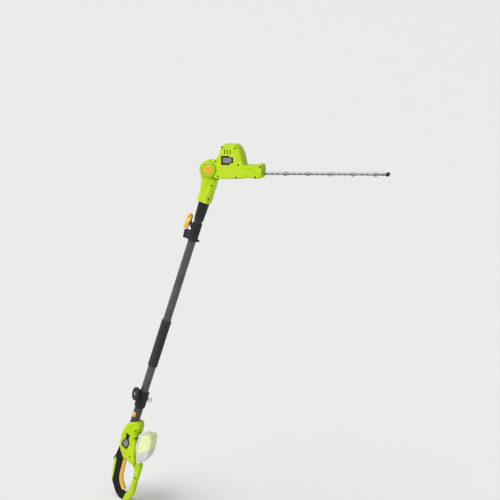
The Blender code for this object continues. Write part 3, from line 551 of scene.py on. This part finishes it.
for side, word in ((-1, "left"), (1, "right")):
    plate = carve(panel([handle["badge"]], -26.75, -25.7, 0.4), panel([handle["window"]], -30, -26.3))
    window = panel([handle["window"]], -26.6, -26.1, 0.2, inset=0.3)
    if side > 0:
        plate, window = mirrored(plate), mirrored(window)
    install(f"handleBadge_{word}", plate, poleFrame, "housing", "black_plastic", (f"handle_badge_{word}",),
            0.15)
    install(f"handleBadgeWindow_{word}", window, poleFrame, "housing", "black_plastic", finish="badge_grey")
addScrews("handleScrew", "handle_screw", handle["screws"], poleFrame, "housing")
print("handle made")

controls = {
    "paddle": [(-7, -133, 3), (6, -133, 4), (16, -147, 12), (18, -190, 120), (23, -245, 60), (49, -281, 6),
               (44, -291, 4), (34, -287, 10), (2, -250, 60), (-4, -190, 80), (-9, -150, 10)],
    "arm": [(-5, -145, 0), (-6, -113, 2), (3, -113, 2), (8, -140, 0)],
    "lockOff": [(-36, -164, 2), (-38.5, -172, 6), (-35.5, -180, 2), (-27, -180, 0), (-27, -164, 0)],
    "paddleHalf": 9.2, "paddleEdge": 3.2,
}
paddle = panel([controls["paddle"]], -controls["paddleHalf"], controls["paddleHalf"], controls["paddleEdge"])
paddle = weld(paddle, panel([controls["arm"]], -6, 6, 0.5))
paddle = carve(paddle, across(2.8, 4, -140, -20, 20, 24))
install("triggerPaddle", paddle, poleFrame, "trigger", "yellow_plastic", ("trigger_paddle",))
button = weld(panel([controls["lockOff"]], -6.8, 6.8, 1.5), block((-28, -5, -177), (-18, 5, -167)))
for i in range(3):
    place = (-38.7 + 0.8 * abs(i - 1), -168.5 - 3.5 * i)
    button = carve(button, across(0.7, *place, -10, 10, 16))
install("lockOffButton", button, poleFrame, "lock_off", "black_plastic", ("lock_off_button",))
print("controls made")

# the pole's fixed lower part: steel-grey tubes, yellow coupling button, foam sleeve, collar with its knob
lowerPole = {
    "socket": [(16.4, -46, 0.3), (18, -46, 0.5), (18, 74, 0.5), (16.4, 74, 0.3)],
    "tube": [(14.9, 12, 0.2), (16, 12, 0.4), (16, 868, 0.4), (14.9, 868, 0.2)],
    "buttonHole": ((5, -7.3, 31.7), (40, 7.3, 52.3)), "buttonAngle": -110,
    "collar": [(16.3, 76, 0.5), (20.5, 76, 1.5), (22.5, 79, 2), (22.5, 88, 0.6), (21.7, 89, 0.4),
               (21.7, 91, 0.4), (22.5, 92, 0.6), (22.5, 143, 2), (20.5, 146, 1.5), (16.3, 146, 0.5)],
    "foam": [(16.3, 260, 0), (18.2, 260, 1.2), (20.2, 262.6, 1.6), (19.45, 270, 6), (19.6, 361, 300),
             (19.45, 452, 6), (20.2, 459.4, 1.6), (18.2, 462, 1.2), (16.3, 462, 0)],
    "knobAngle": -135, "knobHeight": 130, "eye": (33.5, 0, 118.6),
}


def outFrom(angle, distance, z=0.0):
    return (distance * math.cos(math.radians(angle)), distance * math.sin(math.radians(angle)), z)


opening = moved(block(*lowerPole["buttonHole"], edge=1.4), turn=lowerPole["buttonAngle"])
install("socketTube", carve(lathe(lowerPole["socket"]), duplicate(opening)), poleFrame, "housing",
        "black_tube", ("socket_tube",), softEdge=0.25)
install("outerTube", carve(lathe(lowerPole["tube"]), opening), poleFrame, "housing", "grey_tube",
        ("outer_tube",))
button = weld(block((11.5, -6.8, 32.2), (20, 6.8, 51.8), edge=1.3),
              block((9, -7.8, 30.5), (12.2, 7.8, 53.5), edge=0.4))
for z in (38, 42, 46):
    button = carve(button, rod(0.8, (20.2, -4.6, z), (20.2, 4.6, z), 16, edge=0.5))
install("tubeButton", moved(button, turn=lowerPole["buttonAngle"]), poleFrame, "tube_release",
        "yellow_plastic", ("tube_button",))
foamGrip = install("foamGrip", lathe(lowerPole["foam"], 128, 8), poleFrame, "housing", "foam", ("foam_grip",))

angle, height = lowerPole["knobAngle"], lowerPole["knobHeight"]
collar = weld(lathe(lowerPole["collar"]),
              rod(9, outFrom(angle, 19, height), outFrom(angle, 25.4, height), 48, edge=0.6),
              block((20, -5, 112), (23.7, 5, 125), edge=0.8))
collar = carve(collar, rod(3.3, outFrom(angle, 10, height), outFrom(angle, 40, height), 32),
               rod(2.8, (18.5, 0, 118.6), (40, 0, 118.6), 32), block((18.5, -3.4, 114), (30, 3.4, 123.2)),
               rod(1.4, (-23.6, 0, 100), (-23.6, 0, 138), 24), rod(1.4, (0, 23.6, 100), (0, 23.6, 138), 24))
install("couplerCollar", collar, poleFrame, "housing", "black_plastic", ("coupler_collar",), softEdge=0.3)
eye = moved(lathe([(5.6, -1.9, 1), (9.5, -1.9, 1.2), (9.5, 1.9, 1.2), (5.6, 1.9, 1)], 64), turn=90, axis="X")
eye = weld(moved(eye, lowerPole["eye"]), block((18.9, -1.9, 115.4), (26, 1.9, 121.8), edge=0.6))
install("strapEye", eye, poleFrame, "housing", "steel", ("strap_eye",))

knobFrame = (poleFrame @ Matrix.Translation((0, 0, height)) @ Matrix.Rotation(math.radians(angle), 4, "Z")
             @ Matrix.Rotation(math.pi / 2, 4, "Y"))
knobProfile = [(3.2, 26, 0), (15, 26, 0.6), (17, 28, 0.4), (25.5, 28, 1), (27.5, 30, 2), (27.5, 37, 2),
               (25.5, 38.5, 1.5), (19, 38.5, 1), (17.4, 37.6, 1), (9.6, 37.6, 0.6), (8, 38.5, 0.6),
               (8, 36, 0.2), (3.2, 36, 0)]
knob = lathe(knobProfile)
for i in range(10):
    around = math.tau * i / 10
    place = (30.2 * math.cos(around), 30.2 * math.sin(around))
    knob = carve(knob, rod(4, (*place, 20), (*place, 45), 32))
install("couplerKnob", knob, knobFrame, "knob", "black_plastic", ("coupler_knob",), softEdge=0.7)
bolt = weld(rod(2.9, (0, 0, 16.6), (0, 0, 37), 32), rod(7.4, (0, 0, 36.3), (0, 0, 39.4), 6, edge=0.5))
install("knobBolt", bolt, knobFrame, "knob", "steel", ("knob_bolt",))
print("lower pole made")

clamp = {
    "body": [(0, 809, 0), (18.4, 809, 1.2), (19.4, 811, 1), (19.4, 826, 0.5), (18.7, 827, 0.4),
             (18.7, 829, 0.4), (19.4, 830, 0.5), (19.4, 878, 3), (17.6, 887, 1), (0, 887, 0)],
    "block": [(-16, 812, 0), (-39, 810, 4), (-42, 845, 5), (-16, 846, 0)],
    "lug": [(-16, 868, 0), (-27, 882, 10), (-28, 906, 8), (-40, 909, 8), (-46, 902, 6), (-46, 892, 6),
            (-36, 886, 6), (-30, 866, 10), (-16, 852, 0)],
    "lever": [(-50, 897, 0), (-48.5, 858, 40), (-52, 848, 6), (-34, 848, 5), (-32, 872, 26), (-29, 884, 10),
              (-31, 897, 0)],
    "pin": (-39, 897), "screwHeight": 816.5,
}
pinX, pinZ = clamp["pin"]
body = weld(lathe(clamp["body"]), panel([clamp["block"]], -9.5, 9.5, 2), panel([clamp["lug"]], -4.4, 4.4, 1),
            rod(6.4, (0, 0, clamp["screwHeight"]), (21.5, 0, clamp["screwHeight"]), 48, edge=0.6))
for z in (820, 826, 832, 838):
    body = carve(body, rod(0.9, (-42.6 + (z - 812) * -0.06, -12, z), (-42.6 + (z - 812) * -0.06, 12, z), 16))
body = carve(body, rod(16.3, (0, 0, 790), (0, 0, 868.5), 96), rod(14.8, (0, 0, 860), (0, 0, 900), 96),
             across(2.7, pinX, pinZ, -20, 20, 32),
             rod(2.6, (14, 0, clamp["screwHeight"]), (40, 0, clamp["screwHeight"]), 32))
install("clampBody", body, poleFrame, "housing", "black_plastic", ("clamp_body",), softEdge=0.35)
lever = weld(panel([clamp["lever"]], -8.6, 8.6, 2), across(11, pinX, pinZ, -8.6, 8.6, 96, edge=1.2))
lever = carve(lever, across(2.7, pinX, pinZ, -20, 20, 32), block((-70, -4.8, 872), (-10, 4.8, 930)))
for z in (852, 856, 860):
    lever = carve(lever, rod(0.9, (-51.6 + 0.3 * (z - 852), -12, z), (-51.6 + 0.3 * (z - 852), 12, z), 16))
install("clampLever", lever, poleFrame, "lever", "yellow_plastic", ("clamp_lever",), softEdge=0.3)
install("clampPin", across(2.4, pinX, pinZ, -9.2, 9.2, 32, edge=0.5), poleFrame, "housing", "steel",
        ("clamp_pin",), finish="blackened_steel")
nub = weld(rod(2.3, (17, 0, 816.5), (25, 0, 816.5), 24),
           rod(4.6, (21.9, 0, 816.5), (28, 0, 816.5), 32, edge=0.9))
for turnBy in range(0, 360, 45):
    around = math.radians(turnBy)
    nub = carve(nub, rod(0.7, (21, 5 * math.cos(around), 816.5 + 5 * math.sin(around)),
                         (30, 5 * math.cos(around), 816.5 + 5 * math.sin(around)), 12))
install("clampScrew", nub, poleFrame, "housing", "black_plastic", ("clamp_screw",))
print("clamp made")

# the sliding upper tube, its neck sleeve and the green neck with its two ears round the tilt joint
neck = {
    "tube": [(13.2, 165, 0.2), (14.5, 165, 0.4), (14.5, 992, 0.4), (13.2, 992, 0.2)],
    "sleeve": [(14.8, 893, 0), (17.4, 893, 0.8), (18.8, 900, 6), (20.2, 925, 60), (22, 974.6, 0.5),
               (16.8, 974.6, 0), (16.8, 1006, 0), (14.8, 1006, 0)],
    "outline": [(-27, 920, 0), (-29, 1042, 90), (-52, 1092, 60), (-42, 1150, 0), (25, 1150, 0), (24, 920, 0)],
    "halfWidth": 27.6, "roundness": 15, "foot": 975,
    "dome": [(35, 17.3, 0.3), (35, 28, 10), (32, 33, 6), (25, 37, 2)],
    "nearBore": [(20.2, 37, 0.8), (20.2, 24, 0), (14.4, 24, 0), (14.4, 17.3, 0)],
    "farBore": [(12.5, 37, 0.8), (12.5, 31, 0), (4.3, 31, 0), (4.3, 17.3, 0)],
    "screws": [(18.6, 994, 25), (14.6, 1050, 27)],
}
px, pz = pivot[0], pivot[2]
install("innerTube", lathe(neck["tube"]), poleFrame, "upper_pole", "black_tube", ("inner_tube",))
install("neckSleeve", lathe(neck["sleeve"]), poleFrame, "upper_pole", "black_plastic", ("neck_sleeve",),
        softEdge=0.3)
for side, word, bore in ((-1, "left", "nearBore"), (1, "right", "farBore")):
    half = panel([neck["outline"]], -neck["halfWidth"], neck["halfWidth"], neck["roundness"], rings=10)
    half = carve(half, block((-90, -60, 900), (90, 60, neck["foot"])), block((6, -60, 1077), (60, 60, 1200)),
                 block((-90, -60, 1106), (60, 60, 1200)), across(30, px, pz, -60, 60, 96))
    knuckle = moved(lathe(neck["dome"] + neck[bore]), turn=-90 * side, axis="X")
    half = weld(half, moved(knuckle, (px, 0, pz)))
    half = carve(half, across(34, px, pz, -17.1, 17.1, 96), rod(17.1, (0, 0, 940), (0, 0, 1006.3), 96),
                 block((-70, -17, 1079), (40, 17, 1150)))
    half = pocketed(halfOf(half, side), neck["screws"], side)
    install(f"neckShell_{word}", half, poleFrame, "upper_pole", "green_plastic", (f"neck_shell_{word}",),
            softEdge=0.6)
addScrews("neckScrew", "neck_screw", neck["screws"], poleFrame, "upper_pole")
axle = weld(across(4, px, pz, -18, 33, 32),
            rod(11.8, (px, 31.4, pz), (px, 36, pz), 64, edge=0.6, endRadius=10.8))
axle = carve(axle, block((px - 9, 34.8, pz - 1), (px + 9, 40, pz + 1)))
install("pivotAxle", axle, poleFrame, "upper_pole", "steel", ("pivot_axle",), finish="blackened_steel")

tiltButton = {
    "dome": [(0, 37.6, 0), (8.6, 37.4, 0.2), (8.9, 36.8, 0.2), (9.6, 36.8, 0.2), (10, 38.2, 0.6),
             (17.4, 36.8, 3), (19.6, 34.4, 2), (19.6, 28.6, 0.3), (9, 28.6, 0), (9, 20, 0.4),
             (4.5, 20, 0.3), (4.5, 26, 0), (0, 26, 0)],
    "cap": [(0, 37.2, 0), (8.2, 37.2, 0), (8.2, 38.1, 0.5), (0, 38.35, 0)],
}
buttonFrame = poleFrame @ Matrix.Translation(pivot) @ Matrix.Rotation(math.pi / 2, 4, "X")
install("tiltButton", lathe(tiltButton["dome"], 128), buttonFrame, "tilt_release", "yellow_plastic",
        ("tilt_button",))
# the centre cap is drawn a deeper orange than the yellow button round it
install("tiltButtonCap", lathe(tiltButton["cap"], 96), buttonFrame, "tilt_release", "yellow_plastic",
        finish="deeper_orange_centre")
print("neck made")

# the head's two halves, drawn with X along the blades
headShells = {
    "outline": [(0, 33, 0), (22, 36, 30), (46, 52, 40), (53, 84, 30), (62, 97, 18), (118, 97, 24),
                (138, 66, 70), (146, 17, 3), (186, 15, 60), (200, 20, 24), (219, 20, 14), (219, -35, 14),
                (190, -36, 30), (164, -31, 70), (128, -37, 60), (27, -37, 20), (10, -30, 20), (0, -29, 0)],
    "halfWidth": 31, "wall": 3, "edge": 8, "vents": (71.5, 83, 94.5), "ventHalf": 1.8, "lugHalf": 16.5,
    "screws": [(114, 82, 31), (62, 86, 31), (34, 32, 31), (124, 18, 31), (211, 11, 31), (41, -26, 31),
               (116, -30, 31), (192, -28.6, 31)],
    "badge": [(56, 18, 3), (91, 18, 3), (91, 25, 1), (105, 25, 3), (105, 47, 3), (91, 47, 1), (91, 53, 3),
              (56, 53, 3)],
    "window": [(63, 25, 2.5), (87, 25, 2.5), (99, 30, 2.5), (99, 42, 2.5), (87, 46, 2.5), (63, 46, 2.5)],
    "barTop": -17.8, "bladeHeight": -15,
}
barTop, bladeHeight = headShells["barTop"], headShells["bladeHeight"]
headHalf, lugHalf, ventHalf = headShells["halfWidth"], headShells["lugHalf"], headShells["ventHalf"]
headInside = headHalf - headShells["wall"]
form = weld(panel([headShells["outline"]], -headHalf, headHalf, headShells["edge"], rings=6),
            across(33, 0, 0, -lugHalf, lugHalf, 96, edge=0.8))
inside = within(panel([headShells["outline"]], -headInside, headInside, 4, inset=headShells["wall"]),
                block((44, -60, -60), (164, 60, 120)))
form = carve(form, inside)
form = carve(form, block((136, -15.3, barTop), (240, 15.3, bladeHeight + 2.6)),
             block((147, -10.3, barTop - 3.5), (240, 10.3, barTop + 1)),
             block((136, -15.3, -14), (160, 15.3, -9)))
for side, word in ((-1, "left"), (1, "right")):
    half = halfOf(duplicate(form), side)
    half = carve(half, across(36.2, 0, 0, *sorted((side * (lugHalf + 0.01), side * 60)), 96))
    bores = [across(4.3, 0, 0, -60, 60, 48)] + ([across(14.4, 0, 0, -60, -5.8, 96)] if side < 0 else [])
    half = carve(half, *bores)
    for u, v, surface in headShells["screws"]:
        half = weld(half, across(4.7, u, v, *sorted((side * 0.15, side * (surface - 2))), 32))
    half = pocketed(half, headShells["screws"], side)
    for u in headShells["vents"]:
        half = carve(half, block((u - ventHalf, min(side * 60, side * 26), 60),
                                 (u + ventHalf, max(side * 60, side * 26), 78), edge=0.8))
    recess = panel([headShells["badge"]], -40, -29.6, inset=-0.5)
    plate = carve(panel([headShells["badge"]], -30.9, -29.9, 0.35), panel([headShells["window"]], -40, -30.3))
    window = panel([headShells["window"]], -30.75, -30.1, 0.2, inset=0.3)
    if side > 0:
        recess, plate, window = mirrored(recess), mirrored(plate), mirrored(window)
    install(f"headShell_{word}", carve(half, recess), headFrame, "head", "green_plastic",
            (f"head_shell_{word}",), softEdge=0.5)
    install(f"headBadge_{word}", plate, headFrame, "head", "black_plastic", (f"head_badge_{word}",),
            softEdge=0.12)
    install(f"headBadgeWindow_{word}", window, headFrame, "head", "black_plastic", finish="badge_grey")
bpy.data.objects.remove(form)
addScrews("headScrew", "head_screw", headShells["screws"], headFrame, "head")
print("head made")

cutter = {
    "pitch": 22, "firstTooth": 251, "teeth": 20, "end": 700, "shank": 14, "root": 19, "tip": 35, "thick": 2.2,
    "bolts": [306 + 88 * i for i in range(5)], "stroke": 5.5, "yoke": 120, "ground": 1.4,
}


def cutterBlade(low, groundTop):
    # half the outline is drawn and mirrored; the flanks of the teeth are ground to an edge
    yoke, end, root = cutter["yoke"], cutter["end"], cutter["root"]
    side = [(yoke - 18, 20), (yoke + 18, 20), (yoke + 18, 14), (228, cutter["shank"]), (234, root)]
    for tooth in range(cutter["teeth"]):
        middle = cutter["firstTooth"] + cutter["pitch"] * tooth
        if middle + 11 < end - 8:
            side += [(middle - 7.4, root), (middle - 2.6, cutter["tip"]), (middle + 2.6, cutter["tip"]),
                     (middle + 7.4, root)]
    side += [(end - 22, root), (end - 8, 10)]
    bm = bmesh.new()
    bm.faces.new([bm.verts.new((u, y, low)) for u, y in side]
                 + [bm.verts.new((u, -y, low)) for u, y in reversed(side)])
    raised = bmesh.ops.extrude_face_region(bm, geom=bm.faces[:])["geom"]
    bmesh.ops.translate(bm, vec=(0, 0, cutter["thick"]),
                        verts=[v for v in raised if isinstance(v, bmesh.types.BMVert)])
    bmesh.ops.recalc_face_normals(bm, faces=bm.faces)
    level = low + cutter["thick"] if groundTop else low
    flanks = [edge for edge in bm.edges if all(abs(v.co.z - level) < 1e-4 and abs(v.co.y) > root - 0.1
                                               for v in edge.verts)
              and 236 < edge.verts[0].co.x < end - 20 and abs(edge.verts[0].co.y - edge.verts[1].co.y) > 5]
    bmesh.ops.bevel(bm, geom=flanks, offset=cutter["ground"], segments=1, profile=0.5, affect="EDGES",
                    material=-1)
    made = worked(bm)
    for u in cutter["bolts"]:
        reach = cutter["stroke"] + 0.5
        slot = weld(block((u - reach, -3.7, low - 5), (u + reach, 3.7, low + 5)),
                    rod(3.7, (u - reach, 0, low - 5), (u - reach, 0, low + 5), 32),
                    rod(3.7, (u + reach, 0, low - 5), (u + reach, 0, low + 5), 32))
        made = carve(made, slot)
    return carve(made, block((yoke - 9.4, -15, low - 5), (yoke + 9.4, 15, low + 5)))


install("upperBlade", cutterBlade(bladeHeight, True), headFrame, "cutter_upper", "blade_steel",
        ("upper_blade",))
# the lower cutter takes the darker steel: painted shade beneath the upper cutter
install("lowerBlade", cutterBlade(bladeHeight - 2.5, False), headFrame, "cutter_lower", "blade_steel",
        ("lower_blade",), finish="lower_cutter_shaded_steel")
bar = block((150, -10, barTop - 3), (704, 10, barTop), edge=0.5)
bolts = []
for u in cutter["bolts"]:
    bar = carve(bar, rod(3.2, (u, 0, barTop - 8), (u, 0, barTop + 3), 32))
    bolt = weld(rod(3.1, (u, 0, barTop - 8), (u, 0, bladeHeight + 3), 32),
                rod(7, (u, 0, bladeHeight + 2.5), (u, 0, bladeHeight + 4.3), 48, edge=0.3, endRadius=5.6),
                rod(6.2, (u, 0, barTop - 8.4), (u, 0, barTop - 3.05), 6, edge=0.5))
    bolts.append(carve(bolt, rod(2.4, (u, 0, bladeHeight + 3.4), (u, 0, bladeHeight + 6), 6)))
install("guideBar", bar, headFrame, "head", "blade_steel", ("guide_bar",), finish="blackened_steel")
install("cutterBolts", gather(*bolts), headFrame, "head", "steel")
guard = panel([[(699, -24, 3), (711, -24, 4), (711, -10, 4), (699, -10, 3)]], -14, 14, 2)
guard = carve(guard, block((690, -10.3, barTop - 3.3), (704.4, 10.3, barTop + 0.3)))
install("tipGuard", guard, headFrame, "head", "black_plastic", ("tip_guard",))
print("cutter made")

# the battery: a pale grey case with a pale green top, held by a latch
battery = {
    "outline": [(44, -39, 10), (59, -21, 20), (82, -12, 30), (101, -18, 20), (108, -63, 60), (108, -91, 40),
                (105, -116, 20), (82, -144, 14), (69, -145, 9), (44.2, -81, 14)],
    "top": [(57, 20, 0), (130, 20, 0), (130, -64, 0), (103, -68, 12), (75, -97, 14), (57, -97, 0)],
    "latch": [(67, -19.5, 0), (83, -19.5, 0), (83, -10.5, 2), (67, -12.5, 2)],
}
form = panel([battery["outline"]], -37, 37, 6, rings=5)
case = carve(duplicate(form), panel([battery["top"]], -60, 60), block((40, -6, -170), (46.5, 6, -65.5)),
             block((45.7, -11.6, -170), (50.5, 11.6, -60.5)))
for i in range(4):
    groove = block((40, -50, -0.8), (130, -36.2, 0.8))
    groove = moved(groove, (0, 0, -112 - 7 * i), turn=-12, axis="Y", about=(80, 0, -112 - 7 * i))
    case = carve(case, mirrored(duplicate(groove)), groove)
install("batteryCase", case, poleFrame, "battery", "battery_grey", ("battery_case",), softEdge=0.5)
cover = within(form, panel([battery["top"]], -60, 60, inset=0.3))
cover = carve(cover, block((66, -8, -24), (84, 8, 0)))
for side in (-1, 1):
    pad = panel([[(68, -34, 5), (96, -36, 6), (98, -58, 8), (80, -66, 8), (70, -60, 6)]], -40, -36.4)
    cover = carve(cover, pad if side < 0 else mirrored(pad))
install("batteryCover", cover, poleFrame, "battery", "battery_green", ("battery_cover",), softEdge=0.5)
latch = panel([battery["latch"]], -7.2, 7.2, 1)
for x in (70.5, 74, 77.5):
    latch = carve(latch, rod(0.6, (x, -9, -11.9 + 0.12 * (x - 67)), (x, 9, -11.9 + 0.12 * (x - 67)), 12))
install("batteryLatch", latch, poleFrame, "latch", "battery_grey", ("battery_latch",))
print("battery made")

# plain pale floor, soft studio light and the camera
view = {
    "azimuth": 13.5, "height": 14.5, "roll": 18.21, "distance": 5.65, "target": (0.235, 0, 1.0754),
    "lens": 104.3, "sensor": 36, "zenith": 0.27, "horizon": 0.8, "sun": 2.45,
    "sunFrom": (-0.5, -0.62, 0.72), "softness": 38,
}
low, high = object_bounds()
bm = bmesh.new()
bmesh.ops.create_grid(bm, x_segments=4, y_segments=4, size=60)
bmesh.ops.translate(bm, vec=(0, 0, low[2]), verts=bm.verts)
floor = worked(bm, "floor")
floorPaint = newMaterial("matt white studio floor")
place = addNode(floorPaint, "ShaderNodeTexCoord")
patches = addNode(floorPaint, "ShaderNodeTexNoise", links={"Vector": place.outputs["Object"]},
                  inputs={"Scale": 3.0, "Detail": 3.0})
paint = colourRamp(floorPaint, patches.outputs["Fac"], ((0.3, srgb("#fcfcfb")), (0.7, srgb("#fdfdfd"))))
dull = addNode(floorPaint, "ShaderNodeMapRange", links={"Value": patches.outputs["Fac"]},
               inputs={"To Min": 0.8, "To Max": 0.9})
dust = addNode(floorPaint, "ShaderNodeBump", links={"Height": patches.outputs["Fac"]},
               inputs={"Strength": 0.02, "Distance": 0.001})
finishMaterial(floorPaint, paint.outputs["Color"], dull.outputs["Result"], dust.outputs["Normal"], {})
floor.data.materials.append(floorPaint)

world = bpy.data.worlds.new("studio")
bpy.context.scene.world = world
world.use_nodes = True
world.node_tree.nodes.clear()
facing = addNode(world, "ShaderNodeTexCoord")
upward = addNode(world, "ShaderNodeSeparateXYZ", links={"Vector": facing.outputs["Generated"]})
glow = addNode(world, "ShaderNodeMapRange", links={"Value": upward.outputs["Z"]},
               inputs={"From Min": 0.05, "From Max": 0.6, "To Min": view["horizon"],
                       "To Max": view["zenith"]})
surround = addNode(world, "ShaderNodeBackground", links={"Strength": glow.outputs["Result"]},
                   inputs={"Color": (1, 1, 1, 1)})
addNode(world, "ShaderNodeOutputWorld", links={"Surface": surround.outputs["Background"]})
sun = bpy.data.objects.new("window light", bpy.data.lights.new("window light", "SUN"))
bpy.context.scene.collection.objects.link(sun)
sun.data.energy = view["sun"]
sun.data.angle = math.radians(view["softness"])
sun.rotation_euler = Vector(view["sunFrom"]).to_track_quat("Z", "Y").to_euler()

turn, rise, roll = (math.radians(view[key]) for key in ("azimuth", "height", "roll"))
back = Vector((math.sin(turn) * math.cos(rise), -math.cos(turn) * math.cos(rise), math.sin(rise)))
level = Vector((math.cos(turn), math.sin(turn), 0))
upright = back.cross(level)
right = level * math.cos(roll) + upright * math.sin(roll)
up = upright * math.cos(roll) - level * math.sin(roll)
eyePoint = Vector(view["target"]) + back * view["distance"]
camera = bpy.data.objects.new("camera", bpy.data.cameras.new("camera"))
bpy.context.scene.collection.objects.link(camera)
camera.matrix_world = Matrix.Translation(eyePoint) @ Matrix((right, up, back)).transposed().to_4x4()
camera.data.lens = view["lens"]
camera.data.sensor_width = view["sensor"]
bpy.context.scene.camera = camera
bpy.context.scene.view_settings.view_transform = "Standard"
print("floor, light and camera made")
